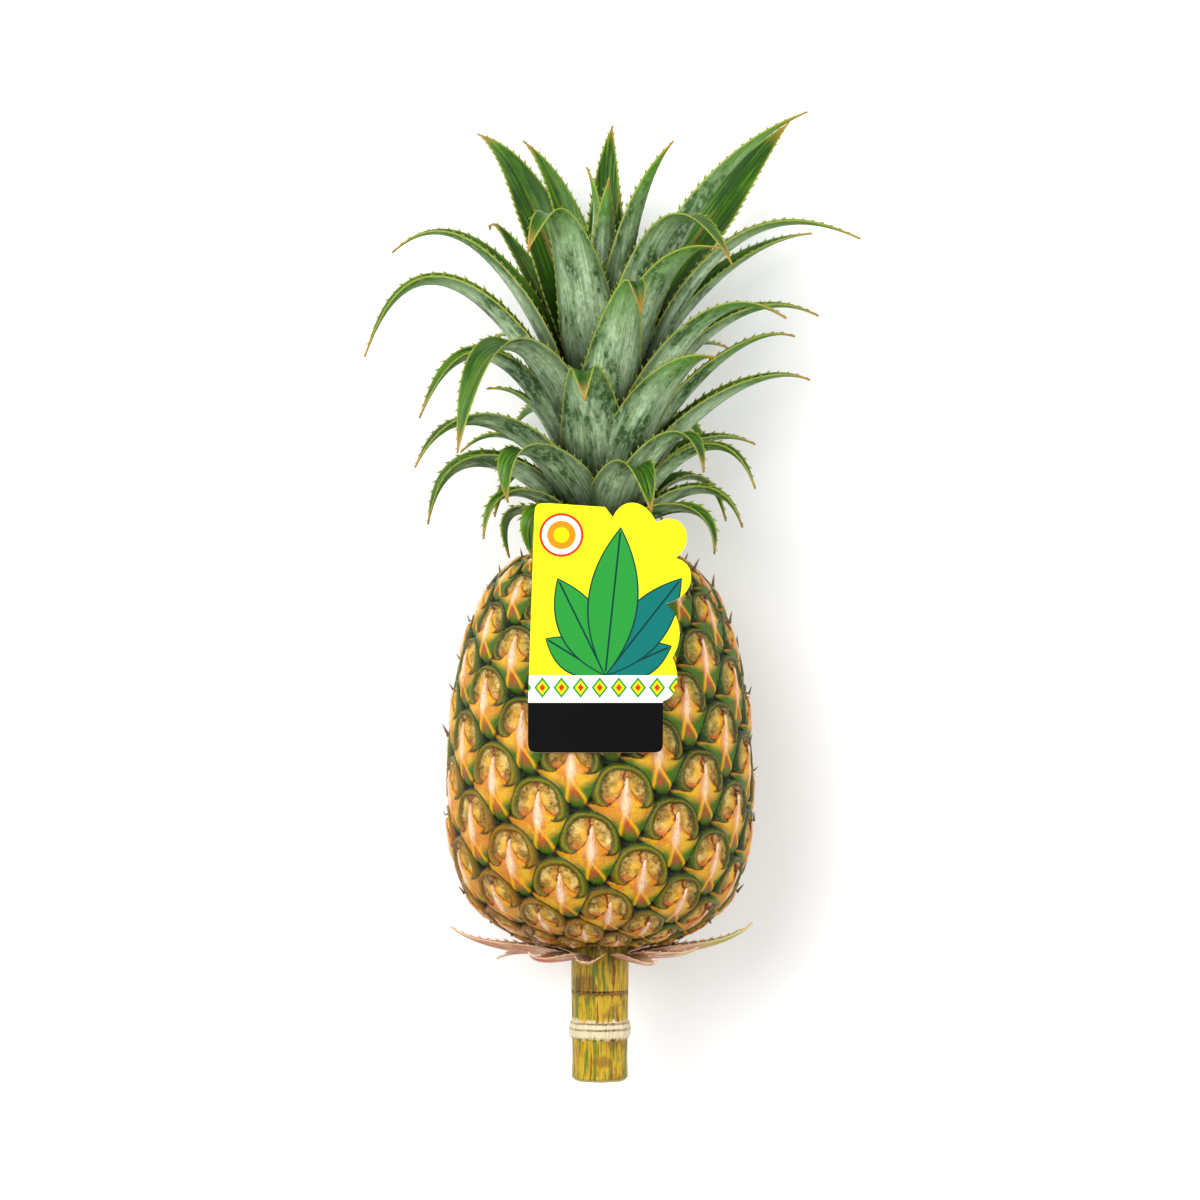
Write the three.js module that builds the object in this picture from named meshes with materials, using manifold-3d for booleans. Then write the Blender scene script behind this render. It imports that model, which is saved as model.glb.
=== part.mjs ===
// A ripe pineapple with its crown, lying on its side with a printed card on top of it.
// Millimetres. +Y runs along the fruit from the cut stem to the crown, +Z is up, z = 0 is the surface.
import * as THREE from "three";
import { mergeVertices } from "three/addons/utils/BufferGeometryUtils.js";
import Module from "manifold-3d";

const wasm = await Module();
wasm.setup();

// Heights along the axis are measured from the fruit's balance point, and the part's origin is
// under the eye that carries it, a little nearer to the stem.
const AXIS_HEIGHT = 58.5;
const REST_EYE_SETBACK = 9.9;
const CLEARANCE = 0.35;
const TRIM_TOLERANCE = 0.04;

// The fruit: [height, radius] from the stem end to the crown end.
const FRUIT_PROFILE = [
  [-80.6, 27.5], [-78, 33.4], [-72, 43], [-66, 49.4], [-60, 53.4], [-48, 58], [-36, 59.6],
  [-18, 60.4], [0, 59.6], [12, 58.6], [24, 57], [36, 54.6], [48, 50.6], [54, 48.2], [60, 45],
  [66, 40.4], [72, 33], [74.6, 27],
];

// The eyes follow the two visible spirals of 8 and 13 rows.
const SPIRAL_A = 8;
const SPIRAL_B = 13;
const TURNS_A = 3;
const TURNS_B = 5;
const DIVERGENCE = 137.49;
const EYE_SPACING = 0.0247;
const FIRST_EYE_AZIMUTH = -3.86;
const FIRST_EYE_HEIGHT = -35.5;
const EYE_TILT = 0.068;
const EYE_DIVISIONS = 4;
const EYE_NOMINAL_RADIUS = 60;
const EYE_STEP_A = [-20.9, 11.9];
const EYE_STEP_B = [13.2, 19.3];
const EYE_HALF_WIDTH = 12.2;
const EYE_HALF_HEIGHT = 8.4;
const EYE_SPREAD = 0.28;
const EYE_DOME = 3.1;
const EYE_GROOVE = 2.4;
const BRACT_TOP = -2.5;
const BRACT_HALF_WIDTH = 15.5;
const BRACT_LENGTH = 18;
const BRACT_FOOT = 0.28;
const BRACT_RISE = 3.1;

// The cut stem: [height, radius] from the cut end to the fruit.
const STEM_PROFILE = [
  [-136, 9.8], [-134.8, 10.9], [-126, 10.7], [-119.6, 10.8], [-118.2, 11.9], [-115.2, 12.1],
  [-112.8, 11.7], [-111.6, 10.9], [-100, 11.1], [-91, 11.2], [-82, 10.9],
];
const STEM_SIDES = 20;
const STEM_FLUTES = 7;
const STEM_FLUTE_DEPTH = 0.28;
const COLLAR_PROFILE = [
  [12.1, -84.7], [12.1, -88.2], [12.6, -89.2], [13.8, -88.4], [14.5, -85.2], [12.1, -84.7],
];
const COLLAR_SIDES = 12;

// The short stem inside the crown: [radius, height].
const CORE_PROFILE = [[0, 74.5], [11, 74.5], [10.4, 90], [8.6, 115], [6, 142], [3.4, 166], [0, 172]];
const CORE_SIDES = 12;

// The papery bracts round the stem's top: azimuth, then [out, height] of the bend and of the tip,
// and width. An azimuth of 0 faces up from the surface and 90 faces +X.
const BRACTS = [
  [-82, [45, -81.5], [60, -74], 16],
  [-99, [30, -85.5], [42, -88], 12],
  [-42, [25, -87], [42, -82.5], 15],
  [-12, [20, -87.5], [33, -86], 16],
  [36, [24, -87.5], [38, -86], 15],
  [60, [31, -85.5], [45, -81], 13],
  [78, [43, -82], [62, -72], 14],
  [101, [38, -83.5], [57.5, -76.5], 12],
  [140, [28, -86], [48, -82], 13],
  [178, [30, -85.5], [50, -79], 14],
  [-138, [28, -86], [46, -83.5], 13],
];
const BRACT_THICKNESS = 0.8;

// The crown's leaves: azimuth, height of the root, [out, height] of the bend, [out, height] of the
// tip, sideways sway of the tip, width, and roll in degrees.
const LEAVES = [
  [14, 166, [7, 200], [11, 224], 1, 16.5, -4],
  [-71, 164, [3, 205], [6, 229], 1, 16, 21],
  [123, 158, [10, 198], [10, 220], 1, 15.5, 16],
  [165, 154, [14, 206], [31, 249], 3, 24, 8],
  [45, 148, [20, 207], [39, 237], 2, 21, 3],
  [-165, 146, [21, 209], [39, 243], 22, 22, 0],
  [122, 142, [42, 197], [91, 252], -1, 33, 54],
  [-137, 138, [33, 203], [74, 248], 0, 31.5, -34],
  [-21, 134, [37, 205], [50, 192], -11, 33, 2],
  [69, 130, [45, 213], [87, 248], 1, 29.5, -14],
  [-125, 134, [46, 202], [57, 207], -3, 18, -26],
  [150, 128, [32, 184], [56, 211], 0, 23, 0],
  [-99, 122, [54, 199], [85, 196], -1, 22, -43],
  [44, 122, [43, 203], [75, 186], -1, 30, 0],
  [115, 122, [53, 185], [96, 206], 1, 23, 38],
  [37, 118, [43, 183], [77, 192], 0, 28, -6],
  [-160, 118, [30, 178], [54, 200], 0, 24, 0],
  [87, 114, [58, 200], [104, 200], 0, 22.5, 26],
  [12, 109, [50, 177], [53, 167], 5, 33, 0],
  [-86, 111, [65, 182], [94, 153], -1, 24.5, -39],
  [164, 108, [34, 162], [57, 180], 0, 25, 0],
  [103, 108, [58, 170], [91, 171], 1, 22, 39],
  [-46, 106, [38, 149], [77, 113], 0, 30, -4],
  [-142, 103, [42, 156], [70, 165], 0, 24, 0],
  [60, 101, [53, 167], [84, 166], 0, 29, -6],
  [-75, 100, [45, 151], [74, 128], 0, 23.5, -45],
  [134, 97, [42, 154], [72, 160], 0, 22, 0],
  [85, 96, [54, 155], [78, 161], 0, 21, 24],
  [-9, 96, [45, 144], [56, 133], 3, 34, 4],
  [-104, 96, [30, 135], [47, 141], 0, 18, -15],
  [176, 94, [36, 136], [60, 139], 0, 24, 0],
  [38, 92, [47, 143], [73, 150], 0, 31, -12],
  [90, 88, [58, 141], [84, 144], 0, 24, 38],
  [-148, 90, [38, 130], [66, 128], 0, 22, 0],
  [-63, 88, [45, 123], [80, 108], -3, 27, 10],
  [142, 88, [42, 128], [72, 118], 0, 20, 0],
  [-116, 86, [38, 120], [63, 116], 0, 16, -15],
  [108, 84, [43, 119], [66, 119], 0, 18, 37],
  [-39, 84, [50, 113], [56, 94], -1, 30, 4],
  [18, 83, [36, 107], [52, 90], 4, 25, 0],
  [49, 83, [42, 120], [54, 106], 0, 25, 0],
  [74, 81, [47, 116], [64, 100], 0, 18, 22],
  [-83, 82, [38, 107], [69, 86], -1, 24, -44],
  [-170, 82, [34, 110], [58, 99], 0, 20, 0],
  [152, 80, [32, 102], [54, 88], 0, 16, 0],
  [-132, 80, [36, 106], [58, 90], 0, 17, 0],
  [118, 79, [36, 104], [58, 88], 0, 16, 10],
  [-58, 79, [35, 97], [53, 80], -2, 14.5, -27],
  [90, 78, [35, 98], [57, 85], 1, 16.5, 35],
  [58, 77, [39, 91], [52, 74], 2, 17.5, 14],
  [-34, 77, [40, 90], [38, 72], -6, 18, -4],
  [-109, 77, [32, 91], [39, 73], -1, 17.5, 2],
];
const LEAF_THICKNESS = 0.9;
const LEAF_FOLD_AT_ROOT = 23;
const LEAF_FOLD_AT_TIP = 16;
const LEAF_FOLD_SWELL = 10;
const LEAF_TAPER = 1.8;
const LEAF_ROOT_WIDTH = 0.62;
const LEAF_ROOT_GAP = 1.4;
const TOOTH_PITCH = 18;
const TOOTH_HEIGHT = 1.3;
const TOOTH_LEAN = 0.78;
const LONG_LEAF_TEETH = 6;
const TIP_HALF_WIDTH = 0.5;
const LEAF_SPACE = 0.62;
const FLOOR_TOUCH = 0.55;
const FLOOR_SOFTNESS = 2.5;

// The printed card: its outline starts at the lower left corner, and its lower edge lies on the
// belly of the fruit.
const CARD_THICKNESS = 0.8;
const CARD_LEFT = -27.8;
const CARD_RIGHT = 24.3;
const CARD_BOTTOM = -3;
const CARD_SHOULDER = 17;
const CARD_TOP = 94.5;
const CARD_LIFT = 62.1;
const CARD_PITCH = 8;
const CARD_CORNER = 6.5;

const COLOURS = {
  fruit: [0xb98a2c, 0.55],
  stem: [0x9a9a3a, 0.6],
  bracts: [0xc78f7c, 0.75],
  core: [0x7f9a58, 0.6],
  leaf: [0x5f8a52, 0.45],
  card: [0xf4df26, 0.35],
};

const radians = (degrees) => THREE.MathUtils.degToRad(degrees);

// A point at a distance out from the fruit's axis and a height along it.
function around(out, height, azimuth) {
  const turn = radians(azimuth);
  return new THREE.Vector3(
    out * Math.sin(turn),
    height + REST_EYE_SETBACK,
    AXIS_HEIGHT + out * Math.cos(turn),
  );
}

function solidFrom(geometry) {
  const bare = geometry.clone();
  bare.deleteAttribute("normal");
  bare.deleteAttribute("uv");
  const merged = mergeVertices(bare, 1e-4);
  const mesh = new wasm.Mesh({
    numProp: 3,
    vertProperties: new Float32Array(merged.attributes.position.array),
    triVerts: new Uint32Array(merged.index.array),
  });
  return new wasm.Manifold(mesh);
}

function geometryFrom(solid) {
  const mesh = solid.getMesh();
  const geometry = new THREE.BufferGeometry();
  geometry.setAttribute("position", new THREE.BufferAttribute(mesh.vertProperties, 3));
  geometry.setIndex(new THREE.BufferAttribute(mesh.triVerts, 1));
  geometry.computeVertexNormals();
  return geometry;
}

function geometryOf(points, triangles) {
  const geometry = new THREE.BufferGeometry().setFromPoints(points);
  geometry.setIndex(triangles);
  return geometry;
}

function nodeMesh(name, solid, [color, roughness]) {
  const material = new THREE.MeshStandardMaterial({ color, roughness, metalness: 0 });
  const mesh = new THREE.Mesh(geometryFrom(solid), material);
  mesh.name = name;
  return mesh;
}

function largestBody(solid) {
  const bodies = solid.simplify(TRIM_TOLERANCE).decompose();
  bodies.sort((a, b) => b.volume() - a.volume());
  return bodies[0];
}

// The fruit's profile by the number of eyes along it, counted from the first eye.
function fruitRuler() {
  const knots = FRUIT_PROFILE.map(([height, radius]) => new THREE.Vector3(radius, height, 0));
  const curve = new THREE.CatmullRomCurve3(knots, false, "centripetal");
  const samples = 600;
  const stations = [];
  let count = 0;
  let before = null;
  for (let i = 0; i <= samples; i += 1) {
    const point = curve.getPoint(i / samples);
    if (before) count += before.distanceTo(point) / (EYE_SPACING * (before.x + point.x) * 0.5);
    stations.push({ count, radius: point.x, height: point.y });
    before = point;
  }
  const first = stations.find((station) => station.height >= FIRST_EYE_HEIGHT).count;
  for (const station of stations) station.count -= first;
  return stations;
}

function stationAt(ruler, count) {
  let high = ruler.findIndex((station) => station.count >= count);
  if (high < 1) high = high === 0 ? 1 : ruler.length - 1;
  const a = ruler[high - 1];
  const b = ruler[high];
  const t = THREE.MathUtils.clamp((count - a.count) / (b.count - a.count), 0, 1);
  const slope = Math.atan2(b.height - a.height, b.radius - a.radius);
  return {
    radius: THREE.MathUtils.lerp(a.radius, b.radius, t),
    height: THREE.MathUtils.lerp(a.height, b.height, t),
    normalOut: Math.sin(slope),
    normalUp: -Math.cos(slope),
  };
}

// How far one eye, with the bract below it, stands out at a place given from the eye's centre.
// The dome is wider below, and the bract narrows from its wings to a blunt foot.
function eyeRelief(x, y) {
  const halfWidth = EYE_HALF_WIDTH - EYE_SPREAD * y;
  const dome = 1 - (Math.abs(x) / halfWidth) ** 3 - (Math.abs(y) / EYE_HALF_HEIGHT) ** 3;
  const domeHeight = dome > 0 ? EYE_DOME * Math.sqrt(dome) : 0;
  const down = (BRACT_TOP - y) / BRACT_LENGTH;
  if (down < 0 || down > 1) return domeHeight;
  const narrowed = THREE.MathUtils.lerp(1, BRACT_FOOT, Math.max(0, down - 0.2) / 0.8);
  const reach = BRACT_HALF_WIDTH * Math.min(down / 0.2, narrowed);
  const across = Math.abs(x) / Math.max(reach, 0.1);
  const bractHeight = across < 1 ? BRACT_RISE * (1 - 0.6 * across) * (1.25 - down) : 0;
  return Math.max(domeHeight, bractHeight);
}

function skinRelief(a, b) {
  const nearA = Math.round(a);
  const nearB = Math.round(b);
  let height = 0;
  for (const stepA of [-1, 0, 1]) {
    for (const stepB of [-1, 0, 1]) {
      const p = a - nearA - stepA;
      const q = b - nearB - stepB;
      const x = p * EYE_STEP_A[0] + q * EYE_STEP_B[0];
      const y = p * EYE_STEP_A[1] + q * EYE_STEP_B[1];
      height = Math.max(height, eyeRelief(x, y));
    }
  }
  return height - EYE_GROOVE;
}

// A point of the fruit's skin, by the steps taken along both spirals from the first eye.
function skinPoint(ruler, a, b) {
  const count = SPIRAL_A * a + SPIRAL_B * b;
  const stepA = 360 * TURNS_A - DIVERGENCE * SPIRAL_A;
  const stepB = 360 * TURNS_B - DIVERGENCE * SPIRAL_B;
  const azimuth = FIRST_EYE_AZIMUTH + stepA * a + stepB * b;
  const lowest = ruler[0].count;
  const highest = ruler[ruler.length - 1].count;
  const along = (2 * (count - lowest)) / (highest - lowest) - 1;
  const tilt = (EYE_TILT * Math.sin(radians(azimuth)) * (1 - along * along)) / EYE_SPACING;
  const station = stationAt(ruler, count - tilt);
  const relief = (skinRelief(a, b) * station.radius) / EYE_NOMINAL_RADIUS;
  return around(
    station.radius + relief * station.normalOut,
    station.height + relief * station.normalUp,
    azimuth,
  );
}

// A net of vertices on both spirals, closed round the fruit, with each open end drawn to a point.
function skinNet(ruler) {
  const n = EYE_DIVISIONS;
  const lowest = Math.ceil(ruler[0].count * n);
  const highest = Math.floor(ruler[ruler.length - 1].count * n);
  const points = [];
  const triangles = [];
  const known = new Map();
  const rank = (i, j) => SPIRAL_A * i + SPIRAL_B * j;
  const vertex = (i, j) => {
    const m = rank(i, j);
    const wrap = (((i - 5 * m) / SPIRAL_B) % n + n) % n;
    const key = m * n + wrap;
    if (!known.has(key)) {
      known.set(key, points.length);
      points.push(skinPoint(ruler, i / n, j / n));
    }
    return known.get(key);
  };
  for (let m = lowest; m + SPIRAL_A + SPIRAL_B <= highest; m += 1) {
    for (let t = 0; t < n; t += 1) {
      const i = 5 * m + SPIRAL_B * t;
      const j = -3 * m - SPIRAL_A * t;
      const corners = [vertex(i, j), vertex(i, j + 1), vertex(i + 1, j + 1), vertex(i + 1, j)];
      triangles.push(corners[0], corners[1], corners[2], corners[0], corners[2], corners[3]);
    }
  }
  closeEnds(points, triangles);
  return geometryOf(points, triangles);
}

// Finds the open rims of a net and closes each with a fan to its middle.
function closeEnds(points, triangles) {
  const next = new Map();
  const edges = new Set();
  for (let k = 0; k < triangles.length; k += 3) {
    for (let e = 0; e < 3; e += 1) {
      edges.add(`${triangles[k + e]},${triangles[k + ((e + 1) % 3)]}`);
    }
  }
  for (const edge of edges) {
    const [from, to] = edge.split(",").map(Number);
    if (!edges.has(`${to},${from}`)) next.set(to, from);
  }
  while (next.size) {
    const rim = [next.keys().next().value];
    while (next.has(rim[rim.length - 1])) {
      const last = rim[rim.length - 1];
      const following = next.get(last);
      next.delete(last);
      if (following === rim[0]) break;
      rim.push(following);
    }
    const middle = new THREE.Vector3();
    for (const index of rim) middle.add(points[index]);
    middle.divideScalar(rim.length);
    middle.x = 0;
    middle.z = AXIS_HEIGHT;
    points.push(middle);
    rim.forEach((index, k) => {
      triangles.push(index, rim[(k + 1) % rim.length], points.length - 1);
    });
  }
}

function floorSlab() {
  const size = 1000;
  const slab = new THREE.BoxGeometry(size, size, size);
  slab.translate(0, 0, -size / 2);
  return solidFrom(slab);
}

function makeFruit() {
  return largestBody(solidFrom(skinNet(fruitRuler())).subtract(floorSlab()));
}

// A smooth skin just outside the fruit, which the leaves and bracts keep clear of.
function makeFruitEnvelope() {
  const margin = 2.2;
  const inner = FRUIT_PROFILE.slice(1, -1).map(([h, r]) => new THREE.Vector2(r + margin, h));
  const bottom = FRUIT_PROFILE[0][0];
  const top = FRUIT_PROFILE[FRUIT_PROFILE.length - 1];
  const outline = [
    new THREE.Vector2(0, bottom - 0.3),
    new THREE.Vector2(20, bottom - 0.3),
    ...inner,
    new THREE.Vector2(top[1], top[0] + 0.5),
    new THREE.Vector2(0, top[0] + 0.5),
  ];
  return alongAxis(new THREE.LatheGeometry(outline, 48));
}

// Moves a lathed shape, whose axis is its own Y, onto the fruit's axis.
function alongAxis(geometry) {
  geometry.translate(0, REST_EYE_SETBACK, AXIS_HEIGHT);
  return solidFrom(geometry);
}

function latheOf(profile, sides) {
  return alongAxis(new THREE.LatheGeometry(profile.map(([r, h]) => new THREE.Vector2(r, h)), sides));
}

function makeStem() {
  const points = [];
  const triangles = [];
  for (const [height, radius] of STEM_PROFILE) {
    for (let k = 0; k < STEM_SIDES; k += 1) {
      const azimuth = (360 * k) / STEM_SIDES;
      const flute = STEM_FLUTE_DEPTH * Math.cos(radians(azimuth * STEM_FLUTES));
      points.push(around(radius + flute, height, azimuth));
    }
  }
  for (let ring = 0; ring + 1 < STEM_PROFILE.length; ring += 1) {
    for (let k = 0; k < STEM_SIDES; k += 1) {
      const a = ring * STEM_SIDES + k;
      const b = ring * STEM_SIDES + ((k + 1) % STEM_SIDES);
      triangles.push(a, b + STEM_SIDES, b, a, a + STEM_SIDES, b + STEM_SIDES);
    }
  }
  closeEnds(points, triangles);
  return outward(geometryOf(points, triangles));
}

// A solid whose faces point out, whichever way round its triangles were listed.
function outward(geometry) {
  const solid = solidFrom(geometry);
  if (solid.volume() > 0) return solid;
  const index = geometry.index.array;
  for (let k = 0; k < index.length; k += 3) {
    [index[k + 1], index[k + 2]] = [index[k + 2], index[k + 1]];
  }
  return solidFrom(geometry);
}

// The line that a blade follows: from its root, past its bend, to its tip.
function bladeCurve(azimuth, root, bend, tip, sway) {
  const side = around(1, 0, azimuth + 90).sub(around(0, 0, 0));
  const start = around(root[0], root[1], azimuth);
  const middle = around(bend[0], bend[1], azimuth).addScaledVector(side, sway * 0.36);
  const end = around(tip[0], tip[1], azimuth).addScaledVector(side, sway);
  const before = start.distanceTo(middle);
  const after = middle.distanceTo(end);
  const t = THREE.MathUtils.clamp(before / (before + after), 0.42, 0.68);
  const rise = around(root[2], root[3], azimuth).sub(around(0, 0, 0)).normalize();
  const first = start.clone().addScaledVector(rise, before * 0.42);
  const second = middle
    .clone()
    .addScaledVector(start, -((1 - t) ** 3))
    .addScaledVector(first, -3 * (1 - t) ** 2 * t)
    .addScaledVector(end, -(t ** 3))
    .divideScalar(3 * (1 - t) * t * t);
  return { curve: new THREE.CubicBezierCurve3(start, first, second, end), side };
}

// Keeps a point above the surface, bending it along the surface where it would go below.
function restOnFloor(point) {
  const over = (point.z - FLOOR_TOUCH) / FLOOR_SOFTNESS;
  if (over < 12) point.z = FLOOR_TOUCH + FLOOR_SOFTNESS * Math.log1p(Math.exp(over));
  return point;
}

// The stations of a blade's edge: a share of its length, and how far a tooth stands out there.
function toothStations(length, smooth) {
  const teeth = THREE.MathUtils.clamp(Math.round(length / TOOTH_PITCH), 3, 8);
  const stations = [];
  for (let k = 0; k < teeth; k += 1) {
    stations.push([k / teeth, 0]);
    stations.push([(k + TOOTH_LEAN) / teeth, k + 1 < teeth ? 1 : 0]);
  }
  stations.push([1, 0]);
  if (!smooth) return stations;
  const every = teeth < LONG_LEAF_TEETH ? 1 : 2;
  return stations.filter((_, k) => k % every === 0).map(([share]) => [share, 1]);
}

function halfWidth(share, width) {
  const swelling = LEAF_ROOT_WIDTH + (1 - LEAF_ROOT_WIDTH) * Math.min(1, share / 0.3);
  return 0.5 * width * swelling * (1 - share ** LEAF_TAPER);
}

// One channelled blade with toothed edges. With a margin it is the smooth space that the blade fills.
function makeBlade(line, width, roll, thickness, margin = 0) {
  const { curve, side } = line;
  const stations = toothStations(curve.getLength(), margin > 0);
  const points = [];
  for (const [share, tooth] of stations) {
    const centre = curve.getPointAt(share);
    const along = curve.getTangentAt(share);
    const across = side.clone().addScaledVector(along, -side.dot(along)).normalize();
    across.applyAxisAngle(along, radians(roll) * Math.min(1, 1.6 * share));
    const inner = along.clone().cross(across);
    const swell = LEAF_FOLD_SWELL * Math.sin(Math.PI * share);
    const fold = radians(THREE.MathUtils.lerp(LEAF_FOLD_AT_ROOT, LEAF_FOLD_AT_TIP, share) + swell);
    const half = Math.max(halfWidth(share, width) + tooth * TOOTH_HEIGHT, TIP_HALF_WIDTH) + margin;
    const columns = [-1, 0, 1].map((place) =>
      restOnFloor(
        centre
          .clone()
          .addScaledVector(across, place * half * Math.cos(fold))
          .addScaledVector(inner, Math.abs(place) * half * Math.sin(fold)),
      ),
    );
    const lift = thickness / 2 + margin;
    for (const column of columns) points.push(column.clone().addScaledVector(inner, lift));
    for (const column of columns) points.push(column.clone().addScaledVector(inner, -lift));
  }
  return solidFrom(geometryOf(points, bladeTriangles(stations.length)));
}

// The faces of a blade: each station has three points on the inner face and three on the outer.
function bladeTriangles(stations) {
  const triangles = [];
  const add = (a, b, c) => triangles.push(a, b, c);
  for (let k = 0; k + 1 < stations; k += 1) {
    const near = 6 * k;
    const far = near + 6;
    for (const column of [0, 1]) {
      add(near + column, far + column, far + column + 1);
      add(near + column, far + column + 1, near + column + 1);
      add(near + 3 + column, far + 4 + column, far + 3 + column);
      add(near + 3 + column, near + 4 + column, far + 4 + column);
    }
    add(near, near + 3, far + 3);
    add(near, far + 3, far);
    add(near + 2, far + 5, near + 5);
    add(near + 2, far + 2, far + 5);
  }
  const last = 6 * (stations - 1);
  for (const column of [0, 1]) {
    add(column, column + 1, column + 4);
    add(column, column + 4, column + 3);
    add(last + column, last + column + 4, last + column + 1);
    add(last + column, last + column + 3, last + column + 4);
  }
  return triangles;
}

function makeBasalBracts() {
  const blades = BRACTS.map(([azimuth, bend, tip, width]) => {
    const line = bladeCurve(azimuth, [13, -86.8, 1, 0.15], bend, tip, 0);
    return makeBlade(line, width, 0, BRACT_THICKNESS);
  });
  const whole = wasm.Manifold.union([latheOf(COLLAR_PROFILE, COLLAR_SIDES), ...blades]);
  return largestBody(whole);
}

function coreRadius(height) {
  const upper = CORE_PROFILE.findIndex(([, h]) => h > height);
  const [r0, h0] = CORE_PROFILE[upper - 1];
  const [r1, h1] = CORE_PROFILE[upper];
  return r0 + ((r1 - r0) * (height - h0)) / (h1 - h0);
}

// The leaves, from the youngest inside to the oldest outside. Each gives way to the ones inside it.
function makeLeaves(fruitEnvelope, core, card) {
  const taken = [fruitEnvelope, core, card];
  return LEAVES.map(([azimuth, root, bend, tip, sway, width, roll]) => {
    const start = [coreRadius(root) + LEAF_ROOT_GAP, root, 0.3, 1];
    const line = bladeCurve(azimuth, start, bend, tip, sway);
    const blade = makeBlade(line, width, roll, LEAF_THICKNESS);
    const leaf = largestBody(blade.subtract(wasm.Manifold.union(taken)));
    taken.push(makeBlade(line, width, roll, LEAF_THICKNESS, LEAF_SPACE));
    return leaf;
  });
}

function cardOutline() {
  const shape = new THREE.Shape();
  shape.moveTo(CARD_LEFT + CARD_CORNER, CARD_BOTTOM);
  shape.lineTo(CARD_RIGHT - CARD_CORNER, CARD_BOTTOM);
  shape.quadraticCurveTo(CARD_RIGHT, CARD_BOTTOM, CARD_RIGHT, CARD_BOTTOM + CARD_CORNER);
  shape.lineTo(CARD_RIGHT, CARD_SHOULDER);
  shape.bezierCurveTo(31, 19, 31, 28, 28, 34);
  shape.bezierCurveTo(33, 42, 31, 51, 25.5, 55);
  shape.bezierCurveTo(38, 58, 38, 71, 29.5, 73);
  shape.bezierCurveTo(38, 79, 33, 93, 22, 87);
  shape.bezierCurveTo(17, CARD_TOP + 3, 8, CARD_TOP + 2, 5, 89);
  shape.lineTo(2, CARD_TOP - 1.5);
  shape.lineTo(CARD_LEFT + 8, CARD_TOP);
  shape.quadraticCurveTo(CARD_LEFT + 2.5, CARD_TOP, CARD_LEFT + 2.2, CARD_TOP - 6);
  shape.lineTo(CARD_LEFT, CARD_SHOULDER);
  shape.lineTo(CARD_LEFT, CARD_BOTTOM + CARD_CORNER);
  shape.quadraticCurveTo(CARD_LEFT, CARD_BOTTOM, CARD_LEFT + CARD_CORNER, CARD_BOTTOM);
  return shape;
}

// The card pitches down towards the crown about its lower edge.
function makeCard(margin = 0) {
  const card = new THREE.ExtrudeGeometry(cardOutline(), {
    depth: CARD_THICKNESS + 2 * margin,
    bevelEnabled: false,
    curveSegments: 5,
  });
  card.translate(0, -CARD_BOTTOM, -margin);
  card.rotateX(radians(-CARD_PITCH));
  card.translate(0, CARD_BOTTOM + REST_EYE_SETBACK, AXIS_HEIGHT + CARD_LIFT);
  return solidFrom(card);
}

function makePineapple() {
  const pineapple = new THREE.Group();
  const fruitEnvelope = makeFruitEnvelope();
  const core = latheOf(CORE_PROFILE, CORE_SIDES);
  const coreSpace = latheOf(CORE_PROFILE.map(([r, h]) => [r > 0 ? r + CLEARANCE : 0, h]), CORE_SIDES);
  pineapple.add(nodeMesh("fruit", makeFruit(), COLOURS.fruit));
  pineapple.add(nodeMesh("stem", makeStem(), COLOURS.stem));
  pineapple.add(nodeMesh("basal_bracts", makeBasalBracts(), COLOURS.bracts));
  const crown = new THREE.Group();
  crown.add(nodeMesh("crown_stem", core, COLOURS.core));
  makeLeaves(fruitEnvelope, coreSpace, makeCard(CLEARANCE)).forEach((leaf, k) => {
    crown.add(nodeMesh(`leaf_${String(k + 1).padStart(2, "0")}`, leaf, COLOURS.leaf));
  });
  pineapple.add(crown);
  pineapple.add(nodeMesh("label_card", makeCard(), COLOURS.card));
  return pineapple;
}

const group = makePineapple();
export default group;
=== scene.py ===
"""A ripe pineapple lying on its side with a printed card on it, seen straight from above."""

import logging
import math
from dataclasses import dataclass, replace
from enum import Enum
from typing import Sequence, TypeVar, Union

import bpy
import numpy as np
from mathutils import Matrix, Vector


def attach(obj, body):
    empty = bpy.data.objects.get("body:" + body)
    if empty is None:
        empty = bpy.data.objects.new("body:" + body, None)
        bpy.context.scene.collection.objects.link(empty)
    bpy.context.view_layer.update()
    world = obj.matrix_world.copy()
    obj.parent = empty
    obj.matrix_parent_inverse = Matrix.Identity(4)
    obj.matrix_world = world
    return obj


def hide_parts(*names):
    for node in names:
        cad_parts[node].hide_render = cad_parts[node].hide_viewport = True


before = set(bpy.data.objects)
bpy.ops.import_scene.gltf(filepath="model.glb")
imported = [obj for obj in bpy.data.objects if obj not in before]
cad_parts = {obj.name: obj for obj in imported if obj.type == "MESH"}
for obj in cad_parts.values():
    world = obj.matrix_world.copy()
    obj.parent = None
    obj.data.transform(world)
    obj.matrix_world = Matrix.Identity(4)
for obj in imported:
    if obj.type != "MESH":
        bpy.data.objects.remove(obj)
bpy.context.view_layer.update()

log = logging.getLogger("pineapple")

MM = 0.001
AXIS_HEIGHT = 58.5
REST_EYE_SETBACK = 9.9
SCATTER_TURN, SCATTER_SIZE = 12.9898, 43758.5453


class Slot(Enum):
    """The material slots that the visible pieces take their finish from."""

    FRUIT = "fruit_skin"
    STEM = "stem_skin"
    BRACTS = "bract_paper"
    CROWN_STEM = "crown_stem"
    LEAF = "leaf_green"
    CARD = "card_print"


class Side(Enum):
    """The two faces of a blade, by the sign that the blade's meshes hold for them."""

    INNER = 1.0
    OUTER = -1.0


# Node trees


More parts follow.
